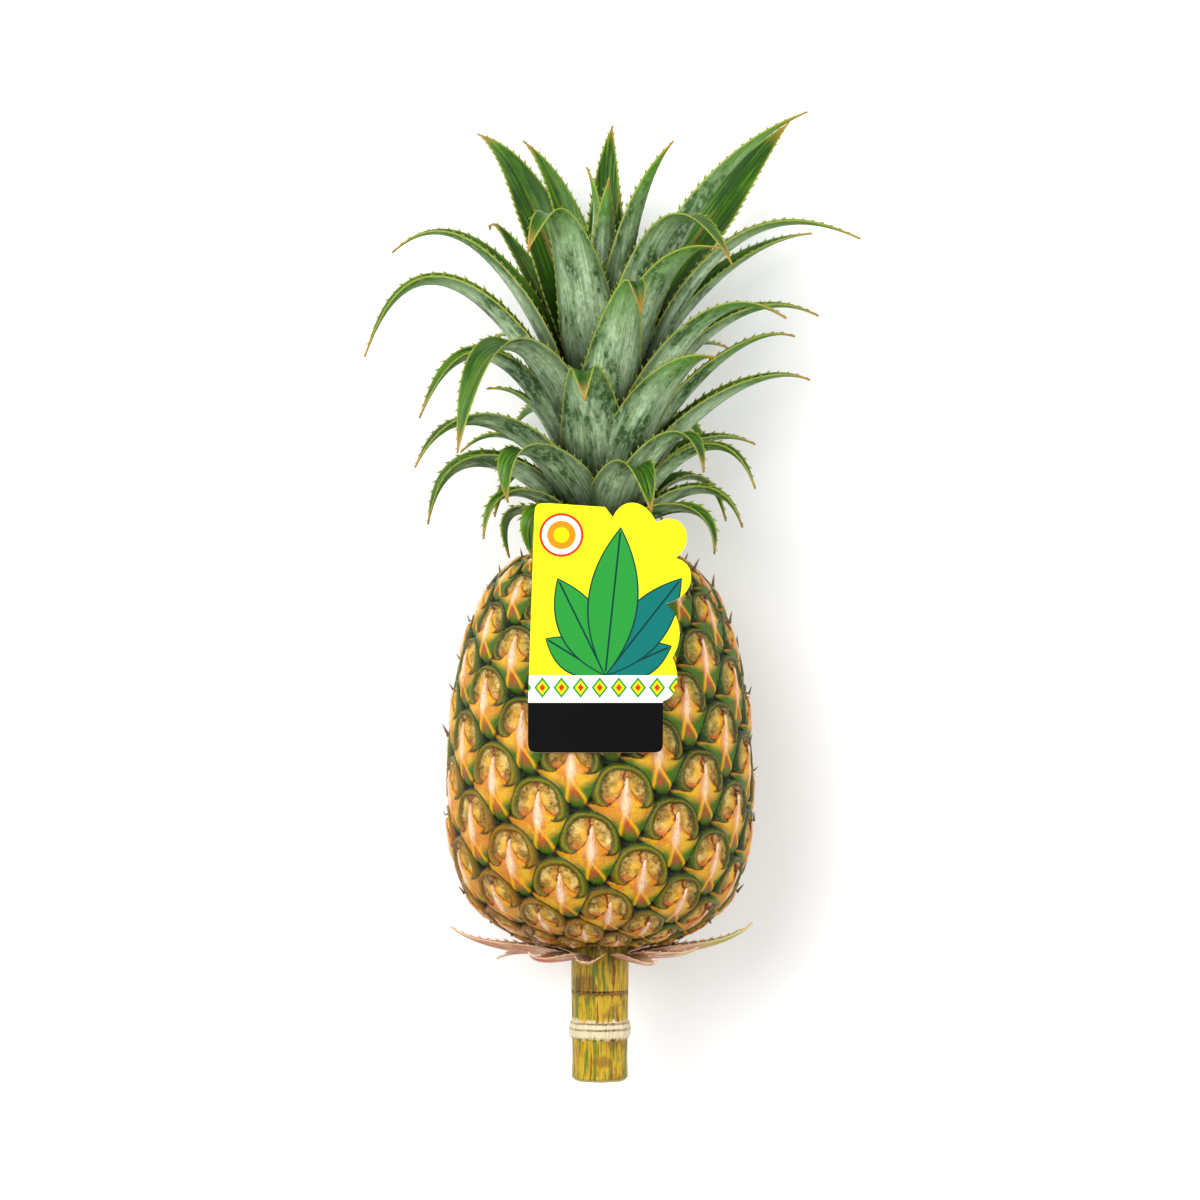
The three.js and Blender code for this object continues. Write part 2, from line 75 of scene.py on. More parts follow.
class Wire:
    """A socket of a node tree that takes arithmetic, with one Math node for each step."""

    def __init__(self, tree: bpy.types.NodeTree, socket: bpy.types.NodeSocket) -> None:
        """Keeps the socket.

        Args:
            tree: The node tree that the socket is in.
            socket: An output socket of one of its nodes.
        """
        self.tree = tree
        self.socket = socket

    def _step(self, operation: str, *values: "Scalar") -> "Wire":
        """Adds one Math node.

        Args:
            operation: The Math node's operation.
            values: What goes into its inputs, in order.

        Returns:
            The node's result.
        """
        node = self.tree.nodes.new("ShaderNodeMath")
        node.operation = operation
        for socket, value in zip(node.inputs, values):
            plug(self.tree, value, socket)
        return Wire(self.tree, node.outputs[0])

    def __add__(self, other: "Scalar") -> "Wire":
        """The sum."""
        return self._step("ADD", self, other)

    __radd__ = __add__

    def __mul__(self, other: "Scalar") -> "Wire":
        """The product."""
        return self._step("MULTIPLY", self, other)

    __rmul__ = __mul__

    def __sub__(self, other: "Scalar") -> "Wire":
        """The difference."""
        return self._step("SUBTRACT", self, other)

    def __rsub__(self, other: "Scalar") -> "Wire":
        """The difference, the other way round."""
        return self._step("SUBTRACT", other, self)

    def __truediv__(self, other: "Scalar") -> "Wire":
        """The quotient."""
        return self._step("DIVIDE", self, other)

    def __pow__(self, other: "Scalar") -> "Wire":
        """The power."""
        return self._step("POWER", self, other)

    def __abs__(self) -> "Wire":
        """The size without its sign."""
        return self._step("ABSOLUTE", self)

    def __neg__(self) -> "Wire":
        """The value with its sign turned."""
        return self._step("MULTIPLY", self, -1.0)

    def exp(self) -> "Wire":
        """The exponential."""
        return self._step("EXPONENT", self)

    def fraction(self) -> "Wire":
        """What is left over after the whole part."""
        return self._step("FRACT", self)

    def least(self, other: "Scalar") -> "Wire":
        """The smaller of two values."""
        return self._step("MINIMUM", self, other)

    def most(self, other: "Scalar") -> "Wire":
        """The larger of two values."""
        return self._step("MAXIMUM", self, other)


Scalar = Union[Wire, float]
Field = TypeVar("Field", Wire, np.ndarray)
Colour = Union[Wire, str]


def plug(tree: bpy.types.NodeTree, value: Scalar, socket: bpy.types.NodeSocket) -> None:
    """Puts a value into an input.

    Args:
        tree: The node tree.
        value: A wire, which is linked, or a number, which the socket keeps.
        socket: The input.
    """
    if isinstance(value, Wire):
        tree.links.new(value.socket, socket)
    else:
        socket.default_value = value


def rise(low: float, high: float, value: Field) -> Field:
    """A smooth step that works on arrays and on wires alike.

    Args:
        low: Where the step is still 0.
        high: Where the step reaches 1.
        value: The value that the step reads.

    Returns:
        The step's height, from 0 to 1.
    """
    if isinstance(value, Wire):
        node = value.tree.nodes.new("ShaderNodeMapRange")
        node.interpolation_type = "SMOOTHSTEP"
        for name, number in (("From Min", low), ("From Max", high)):
            node.inputs[name].default_value = number
        value.tree.links.new(value.socket, node.inputs["Value"])
        return Wire(value.tree, node.outputs["Result"])
    t = np.clip((value - low) / (high - low), 0.0, 1.0)
    return t * t * (3.0 - 2.0 * t)


def exponential(value: Field) -> Field:
    """The exponential of an array or a wire."""
    return value.exp() if isinstance(value, Wire) else np.exp(value)


def larger(value: Field, other: Union[Field, float]) -> Field:
    """The larger of two arrays or wires."""
    return value.most(other) if isinstance(value, Wire) else np.maximum(value, other)


def bell(value: Field, width: float) -> Field:
    """A bell curve round 0, of an array or a wire, with that width."""
    scaled = value * (1.0 / width)
    return exponential(-(scaled * scaled))


def linear(code: str) -> tuple[float, float, float, float]:
    """The linear colour of a hex code.

    Args:
        code: Such as #a0b1c2.

    Returns:
        Red, green, blue and 1.
    """
    shares = [int(code[k : k + 2], 16) / 255 for k in (1, 3, 5)]
    parts = [s / 12.92 if s <= 0.04045 else ((s + 0.055) / 1.055) ** 2.4 for s in shares]
    return (parts[0], parts[1], parts[2], 1.0)


class Paint:
    """A node material while it is being built."""

    def __init__(self, name: str) -> None:
        """Starts an empty material with one Principled shader.

        Args:
            name: The material's name.
        """
        self.material = bpy.data.materials.new(name)
        self.material.use_nodes = True
        self.tree = self.material.node_tree
        self.shader = self.tree.nodes["Principled BSDF"]

    def new(self, kind: str, **settings: object) -> bpy.types.Node:
        """Adds a node.

        Args:
            kind: The node's type.
            settings: The node's own settings.

        Returns:
            The node.
        """
        node = self.tree.nodes.new(kind)
        for name, value in settings.items():
            setattr(node, name, value)
        return node

    def wire(self, socket: bpy.types.NodeSocket) -> Wire:
        """A wire from one output."""
        return Wire(self.tree, socket)

    def place(self) -> Wire:
        """The object's own coordinates in millimetres.

        Returns:
            A vector.
        """
        node = self.new("ShaderNodeTexCoord")
        scaled = self.new("ShaderNodeVectorMath", operation="SCALE")
        self.tree.links.new(node.outputs["Object"], scaled.inputs[0])
        scaled.inputs["Scale"].default_value = 1.0 / MM
        return self.wire(scaled.outputs[0])

    def attribute(self, name: str) -> Wire:
        """A vector that the mesh holds."""
        node = self.new("ShaderNodeAttribute", attribute_name=name)
        return self.wire(node.outputs["Vector"])

    def parts(self, vector: Wire) -> tuple[Wire, Wire, Wire]:
        """The three parts of a vector.

        Args:
            vector: The vector.

        Returns:
            Its X, Y and Z.
        """
        node = self.new("ShaderNodeSeparateXYZ")
        self.tree.links.new(vector.socket, node.inputs[0])
        return tuple(self.wire(output) for output in node.outputs)

    def joined(self, x: Scalar, y: Scalar, z: Scalar = 0.0) -> Wire:
        """Joins three parts.

        Args:
            x: Its X.
            y: Its Y.
            z: Its Z.

        Returns:
            The vector.
        """
        node = self.new("ShaderNodeCombineXYZ")
        for socket, value in zip(node.inputs, (x, y, z)):
            plug(self.tree, value, socket)
        return self.wire(node.outputs[0])

    def noise(self, vector: Wire, scale: float, detail: float = 3.0, rough: float = 0.5) -> Wire:
        """A soft noise from 0 to 1.

        Args:
            vector: Where the noise is read.
            scale: How many lumps there are in one unit of that vector.
            detail: How many finer layers it has.
            rough: How strong the finer layers are.

        Returns:
            The noise's value.
        """
        node = self.new("ShaderNodeTexNoise")
        self.tree.links.new(vector.socket, node.inputs["Vector"])
        node.inputs["Scale"].default_value = scale
        node.inputs["Detail"].default_value = detail
        node.inputs["Roughness"].default_value = rough
        return self.wire(node.outputs["Fac"])

    def cells(self, vector: Wire, scale: float) -> Wire:
        """Scattered dots.

        Args:
            vector: Where it is read.
            scale: How many dots there are in one unit of that vector.

        Returns:
            The distance to the nearest dot.
        """
        node = self.new("ShaderNodeTexVoronoi")
        self.tree.links.new(vector.socket, node.inputs["Vector"])
        node.inputs["Scale"].default_value = scale
        return self.wire(node.outputs["Distance"])

    def mix(self, share: Scalar, base: Colour, top: Colour) -> Wire:
        """Lays one colour over another.

        Args:
            share: How much of the top colour shows.
            base: The colour below, as a wire or a hex code.
            top: The colour above.

        Returns:
            The joined colour.
        """
        node = self.new("ShaderNodeMix", data_type="RGBA")
        plug(self.tree, share, node.inputs[0])
        for socket, value in ((node.inputs[6], base), (node.inputs[7], top)):
            if isinstance(value, Wire):
                self.tree.links.new(value.socket, socket)
            else:
                socket.default_value = linear(value)
        return self.wire(node.outputs[2])

    def layers(self, base: Colour, *tops: tuple[Scalar, Colour]) -> Wire:
        """Lays several colours over a base, one after another.

        Args:
            base: The lowest colour.
            tops: How much of each further colour shows, and the colour.

        Returns:
            The joined colour.
        """
        for share, top in tops:
            base = self.mix(share, base, top)
        return base

    def bump(self, height: Wire, depth: float) -> None:
        """Gives the shader fine relief.

        Args:
            height: The relief, from 0 to 1.
            depth: Its depth in millimetres.
        """
        node = self.new("ShaderNodeBump")
        self.tree.links.new(height.socket, node.inputs["Height"])
        node.inputs["Distance"].default_value = depth * MM
        self.tree.links.new(node.outputs[0], self.shader.inputs["Normal"])

    def done(self, colour: Wire, roughness: Scalar, **values: float) -> bpy.types.Material:
        """Links the colour and the roughness, and sets the shader's other values.

        Args:
            colour: The base colour.
            roughness: A wire or a number.
            values: Values of other sockets, named with _ for a space.

        Returns:
            The finished material.
        """
        self.tree.links.new(colour.socket, self.shader.inputs["Base Color"])
        plug(self.tree, roughness, self.shader.inputs["Roughness"])
        for name, value in values.items():
            self.shader.inputs[name.replace("_", " ")].default_value = value
        return self.material


# Meshes


def around(out: np.ndarray, height: np.ndarray, azimuth: np.ndarray) -> np.ndarray:
    """Points round the fruit's axis, in millimetres.

    Args:
        out: Distances out from the axis.
        height: Heights along it, from the balance point.
        azimuth: Angles in degrees, 0 straight up and 90 towards +X.

    Returns:
        An array of points, one more dimension than the arguments have.
    """
    turn = np.radians(azimuth)
    out, height, turn = np.broadcast_arrays(out, height, turn)
    places = (out * np.sin(turn), height + REST_EYE_SETBACK, AXIS_HEIGHT + out * np.cos(turn))
    return np.stack(places, axis=-1)


def unit(vectors: np.ndarray) -> np.ndarray:
    """The vectors at length 1."""
    return vectors / np.linalg.norm(vectors, axis=-1, keepdims=True)


def cubic(
    start: np.ndarray, first: np.ndarray, second: np.ndarray, end: np.ndarray, t: Union[float, np.ndarray]
) -> np.ndarray:
    """A cubic Bezier curve.

    Args:
        start: Where it starts.
        first: The handle that it leaves the start towards.
        second: The handle that it reaches the end from.
        end: Where it ends.
        t: How far along it the place is, from 0 to 1.

    Returns:
        The place, or one row for each place.
    """
    near, far = (1 - t) ** 3 * start, 3 * (1 - t) ** 2 * t * first
    return near + far + 3 * (1 - t) * t * t * second + t**3 * end


def make_object(name: str, points: np.ndarray, faces: Sequence[Sequence[int]]) -> bpy.types.Object:
    """A smooth mesh object, its points given in millimetres.

    Args:
        name: The object's name.
        points: One row for each vertex.
        faces: The vertex numbers of each face.

    Returns:
        The new object, linked to the scene.
    """
    mesh = bpy.data.meshes.new(name)
    mesh.from_pydata((np.asarray(points) * MM).tolist(), [], [list(face) for face in faces])
    mesh.shade_smooth()
    made = bpy.data.objects.new(name, mesh)
    bpy.context.scene.collection.objects.link(made)
    return made


def store(made: bpy.types.Object, name: str, domain: str, values: np.ndarray) -> None:
    """Keeps vectors on a mesh, one for each point or corner.

    Args:
        made: The object whose mesh holds them.
        name: The attribute's name.
        domain: POINT or CORNER.
        values: One row of three numbers for each.
    """
    attribute = made.data.attributes.new(name, "FLOAT_VECTOR", domain)
    attribute.data.foreach_set("vector", np.asarray(values, np.float32).ravel())


def place_piece(made: bpy.types.Object, nodes: Sequence[str]) -> None:
    """Lets a piece stand for its CAD nodes and ride with them.

    Args:
        made: The piece.
        nodes: The CAD nodes that it stands for.
    """
    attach(made, "root")
    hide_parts(*nodes)


class Tree:
    """A Geometry Nodes tree while it is being built, with its inputs named."""

    def __init__(self, name: str) -> None:
        """Starts a tree that takes a geometry and gives one back.

        Args:
            name: The tree's name.
        """
        self.group = bpy.data.node_groups.new(name, "GeometryNodeTree")
        self.group.interface.new_socket("Geometry", in_out="INPUT", socket_type="NodeSocketGeometry")
        self.group.interface.new_socket("Geometry", in_out="OUTPUT", socket_type="NodeSocketGeometry")
        self.start = self.group.nodes.new("NodeGroupInput")
        self.end = self.group.nodes.new("NodeGroupOutput")
        self.values: dict[str, object] = {}

    def input(self, name: str, kind: str, value: object) -> bpy.types.NodeSocket:
        """Adds a named input.

        Args:
            name: The input's name.
            kind: Its socket's type.
            value: What the modifier sets it to.

        Returns:
            The socket inside the tree.
        """
        item = self.group.interface.new_socket(name, in_out="INPUT", socket_type=kind)
        self.values[item.identifier] = value
        return self.start.outputs[name]

    def new(self, kind: str, links: dict[object, object], **settings: object) -> bpy.types.Node:
        """Adds a node.

        Args:
            kind: The node's type.
            links: What goes into each input, by the input's name or number: a socket or a value.
            settings: The node's own settings.

        Returns:
            The node.
        """
        node = self.group.nodes.new(kind)
        for name, value in settings.items():
            setattr(node, name, value)
        for name, value in links.items():
            if isinstance(value, bpy.types.NodeSocket):
                self.group.links.new(value, node.inputs[name])
            else:
                node.inputs[name].default_value = value
        return node

    def attribute(self, name: str, kind: str) -> bpy.types.NodeSocket:
        """Reads what the mesh holds under a name."""
        return self.new("GeometryNodeInputNamedAttribute", {"Name": name}, data_type=kind).outputs[0]

    def random(self, low: float, high: float, seed: object) -> bpy.types.NodeSocket:
        """A random number for each point."""
        links = {2: low, 3: high, "Seed": seed}
        return self.new("FunctionNodeRandomValue", links, data_type="FLOAT").outputs[1]

    def finish(self, geometry: bpy.types.NodeSocket, material: bpy.types.NodeSocket) -> None:
        """Ends the tree by making the instances real and giving them the material.

        Args:
            geometry: What the tree has made.
            material: The material that it takes.
        """
        real = self.new("GeometryNodeRealizeInstances", {0: geometry}).outputs[0]
        links = {"Geometry": real, "Material": material}
        painted = self.new("GeometryNodeSetMaterial", links).outputs[0]
        self.group.links.new(painted, self.end.inputs[0])

    def apply(self, made: bpy.types.Object) -> None:
        """Runs the tree on an object and keeps the result as its plain mesh.

        Args:
            made: The object.
        """
        modifier = made.modifiers.new(self.group.name, "NODES")
        modifier.node_group = self.group
        for identifier, value in self.values.items():
            modifier[identifier] = value
        graph = bpy.context.evaluated_depsgraph_get()
        mesh = bpy.data.meshes.new_from_object(made.evaluated_get(graph))
        made.modifiers.remove(modifier)
        made.data = mesh
        mesh.shade_smooth()


SMALLEST_SPIKE = 0.01


@dataclass(frozen=True)
class Spike:
    """A small flat spike that points along its own Y, with its root a little below its origin."""

    name: str
    length: float
    width: float
    thickness: float
    curl: float
    rings: int = 2
    sides: int = 4
    taper: float = 0.8
    buried: float = 0.15

    def build(self) -> bpy.types.Object:
        """Builds the pattern.

        Returns:
            The pattern, hidden by itself.
        """
        points, faces = [], []
        for ring in range(self.rings):
            along = ring / self.rings
            girth = self.width * (1.0 - along) ** self.taper / 2
            for k in range(self.sides):
                turn = 2 * math.pi * k / self.sides
                x, z = math.cos(turn) * girth, math.sin(turn) * min(girth, self.thickness / 2)
                points.append([x, (along - self.buried) * self.length, z + self.curl * along**2])
        points.append([0.0, self.length * (1.0 - self.buried), self.curl])
        last = self.rings * self.sides - self.sides
        for k in range(self.sides):
            after = (k + 1) % self.sides
            for low in range(0, last, self.sides):
                faces.append([low + k, low + self.sides + k, low + self.sides + after, low + after])
            faces.append([last + k, len(points) - 1, last + after])
        faces.append(list(range(self.sides)))
        made = make_object(self.name, np.array(points), faces)
        made.hide_render = True
        return made


@dataclass(frozen=True)
class Spikes:
    """Spikes that stand on a mesh where it holds a size, and point where it holds a heading."""

    pattern: bpy.types.Object
    material: bpy.types.Material
    shortest: float = 0.7
    longest: float = 1.25

    def tree(self, seed: int) -> Tree:
        """Builds the tree that stands the spikes.

        Args:
            seed: The seed of their sizes.

        Returns:
            The tree.
        """
        tree = Tree("spikes")
        spike = tree.input("Spike", "NodeSocketObject", self.pattern)
        shortest = tree.input("Shortest", "NodeSocketFloat", self.shortest)
        longest = tree.input("Longest", "NodeSocketFloat", self.longest)
        seeds = tree.input("Seed", "NodeSocketInt", seed)
        finish = tree.input("Finish", "NodeSocketMaterial", self.material)
        size = tree.new("ShaderNodeSeparateXYZ", {0: tree.attribute("spine", "FLOAT_VECTOR")}).outputs[0]
        links = {"Vector": tree.attribute("heading", "FLOAT_VECTOR")}
        turned = tree.new("FunctionNodeAlignRotationToVector", links, axis="Y").outputs[0]
        links = {0: size, 1: SMALLEST_SPIKE}
        chosen = tree.new("FunctionNodeCompare", links, operation="GREATER_THAN").outputs[0]
        share = tree.random(0.0, 1.0, seeds)
        varied = tree.new("ShaderNodeMapRange", {"Value": share, "To Min": shortest, "To Max": longest})
        links = {0: size, 1: varied.outputs[0]}
        scale = tree.new("ShaderNodeMath", links, operation="MULTIPLY").outputs[0]
        shape = tree.new("GeometryNodeObjectInfo", {"Object": spike}).outputs["Geometry"]
        links = {0: tree.start.outputs[0], "Selection": chosen, "Instance": shape}
        links |= {"Rotation": turned, "Scale": scale}
        spikes = tree.new("GeometryNodeInstanceOnPoints", links).outputs[0]
        join = tree.new("GeometryNodeJoinGeometry", {})
        tree.group.links.new(spikes, join.inputs[0])
        tree.group.links.new(tree.start.outputs[0], join.inputs[0])
        tree.finish(join.outputs[0], finish)
        return tree


# The fruit

FRUIT_PROFILE = (
    (-80.6, 27.5), (-78, 33.4), (-72, 43), (-66, 49.4), (-60, 53.4), (-48, 58), (-36, 59.6),
    (-18, 60.4), (0, 59.6), (12, 58.6), (24, 57), (36, 54.6), (48, 50.6), (54, 48.2), (60, 45),
    (66, 40.4), (72, 33), (74.6, 27),
)
PROFILE_STEPS = 600
SPIRAL_A, SPIRAL_B = 8, 13
TURNS_A, TURNS_B = 3, 5
DIVERGENCE = 137.49
EYE_SPACING = 0.0247
FIRST_EYE_AZIMUTH = -3.86
FIRST_EYE_HEIGHT = -35.5
EYE_TILT = 0.068
EYE_STEP_A = (-20.9, 11.9)
EYE_STEP_B = (13.2, 19.3)
EYE_NOMINAL_RADIUS = 60.0
TIP_MARK = 30.0
NEAR_EYES = [(p, q) for p in (-1, 0, 1) for q in (-1, 0, 1)]


def centripetal(knots: np.ndarray, samples: int) -> np.ndarray:
    """A centripetal Catmull-Rom curve through knots.

    Args:
        knots: One row for each knot.
        samples: How many equal steps of its parameter to take.

    Returns:
        One row for each of samples + 1 points.
    """
    ends = np.vstack([2 * knots[0] - knots[1], knots, 2 * knots[-1] - knots[-2]])
    steps = np.sqrt(np.linalg.norm(np.diff(ends, axis=0), axis=1))
    place = np.linspace(0, len(knots) - 1, samples + 1)
    k = np.minimum(place.astype(int), len(knots) - 2)
    w = (place - k)[:, None]
    p0, p1, p2, p3 = (ends[k + shift] for shift in range(4))
    d0, d1, d2 = (steps[k + shift][:, None] for shift in range(3))
    leave = ((p1 - p0) / d0 - (p2 - p0) / (d0 + d1) + (p2 - p1) / d1) * d1
    reach = ((p2 - p1) / d1 - (p3 - p1) / (d1 + d2) + (p3 - p2) / d2) * d1
    cubic = 2 * p1 - 2 * p2 + leave + reach
    square = -3 * p1 + 3 * p2 - 2 * leave - reach
    return p1 + w * (leave + w * (square + w * cubic))


@dataclass(frozen=True)
class EyeShape:
    """The relief of one eye and of the bract below it, in millimetres from the eye's centre."""

    half_width: float = 12.5
    spread: float = 0.3
    half_height: float = 10.2
    squareness: float = 2.6
    dome: float = 3.7
    rim: float = 0.7
    dish: float = 1.2
    crease: float = 0.8
    lean: float = 0.07
    wing_reach: float = 16.3
    wing_height: float = -7.1
    wing_lift: float = 1.2
    spire: float = 12.8
    spire_place: float = 1.0
    spire_width: float = 2.7
    foot: float = -21.4
    left_edge: tuple[float, float] = (-20.0, -0.93)
    right_edge: tuple[float, float] = (-29.0, 1.5)
    cover: float = 3.5
    groove: float = 2.4
    edge_slope: float = 3.5
    rim_place: float = 0.82
    rim_width: float = 0.1
    dish_edge: tuple[float, float] = (0.79, 0.66)
    dish_middle: float = 0.5
    crease_wander: float = 0.9
    crease_width: float = 0.6
    crease_end: tuple[float, float] = (0.7, 0.5)
    dome_foot: tuple[float, float] = (-10.5, -6.5)
    bend_level: float = -6.0
    slope_below: float = 0.115
    slope_above: float = 0.06
    slope_reach: float = 12.0
    wing_sink: float = 1.3
    keel_height: float = 0.6
    keel_width: float = 1.5
    keel_start: tuple[float, float] = (-13.0, -8.0)
    ridge_height: float = 0.5
    ridge_width: float = 0.8
    ridge_start: tuple[float, float] = (-7.5, -20.0)
    ridge_fade: tuple[float, float] = (-5.0, -9.0)
    ridge_gap: float = 4.0
    ridge_shift: float = 2.6
    top_round: float = 1.3
    foot_round: float = 2.4

    def round_share(self, x: Field, y: Field) -> Field:
        """How far out a place is in the eye's dome.

        Args:
            x: Millimetres across, from the eye's centre.
            y: Millimetres up.

        Returns:
            0 at the dome's middle and 1 at its edge.
        """
        across = abs(x / (y * -self.spread + self.half_width)) ** self.squareness
        along = abs(y * (1.0 / self.half_height)) ** self.squareness
        return (across + along) ** (1.0 / self.squareness)

    def bract_top(self, x: Field) -> Field:
        """The bract's upper edge: two wings that rise to a spire between them.

        Args:
            x: Millimetres across, from the eye's centre.

        Returns:
            The edge's height there.
        """
        wing = abs(x) * (1.0 / self.wing_reach)
        spire = exponential(abs(x - self.spire_place) * (-1.0 / self.spire_width)) * self.spire
        return wing * wing * self.wing_lift + self.wing_height + spire

    def bract_foot(self, x: Field) -> Field:
        """The bract's lower edge: a blunt foot between two slanting sides.

        Args:
            x: Millimetres across, from the eye's centre.

        Returns:
            The edge's height there.
        """
        left = x * self.left_edge[1] + self.left_edge[0]
        right = x * self.right_edge[1] + self.right_edge[0]
        return larger(larger(left, right), self.foot)

    def ridges(self, x: Field, y: Field) -> Field:
        """The two ridges that part downwards from the bract's keel to the corners of its foot.

        Args:
            x: Millimetres across, from the eye's centre.
            y: Millimetres up.

        Returns:
            1 along their crests and 0 away from them.
        """
        spread = rise(*self.ridge_start, y)
        off = abs(x - spread * self.ridge_shift) - spread * self.ridge_gap
        return bell(off, self.ridge_width) * rise(*self.ridge_fade, y)

    def height(self, x: np.ndarray, y: np.ndarray) -> tuple[np.ndarray, np.ndarray, np.ndarray]:
        """The relief of one eye.

        Args:
            x: Millimetres across, from the eye's centre.
            y: Millimetres up.

        Returns:
            The dome's height, the bract's, and how deep in the bract's outline the place lies.
        """
        share = self.round_share(x, y)
        dome = self.dome * np.sqrt(np.clip(1.0 - share**4, 0.0, 1.0))
        dome += self.rim * bell(share - self.rim_place, self.rim_width)
        dome -= self.dish * rise(*self.dish_edge, share) * (1.0 - 0.6 * rise(self.dish_middle, 0.0, share))
        wander = self.crease_wander * np.sin(y * 0.9)
        dome -= self.crease * bell(x - wander, self.crease_width) * rise(*self.crease_end, share)
        dome *= rise(*self.dome_foot, y)
        level = y - self.lean * x
        below, above = self.bract_top(x) - level, level - self.bract_foot(x)
        high = level - self.bend_level
        sink = self.slope_below * np.minimum(high, 0.0)
        sink += self.slope_above * np.clip(high, 0.0, self.slope_reach)
        body = self.cover + sink - self.wing_sink * (x / self.wing_reach) ** 2
        body += self.keel_height * bell(x, self.keel_width) * rise(*self.keel_start, level)
        body += self.ridge_height * self.ridges(x, level)
        body *= 0.75 + 0.25 * np.sqrt(np.clip(below / self.top_round, 0.0, 1.0))
        body *= 0.35 + 0.65 * np.sqrt(np.clip(above / self.foot_round, 0.0, 1.0))
        inside = np.minimum(below, above)
        bract = np.maximum(body + self.edge_slope * np.minimum(inside, 0.0), -1.0)
        return np.where(share < 1.0, dome, 0.0), bract, inside


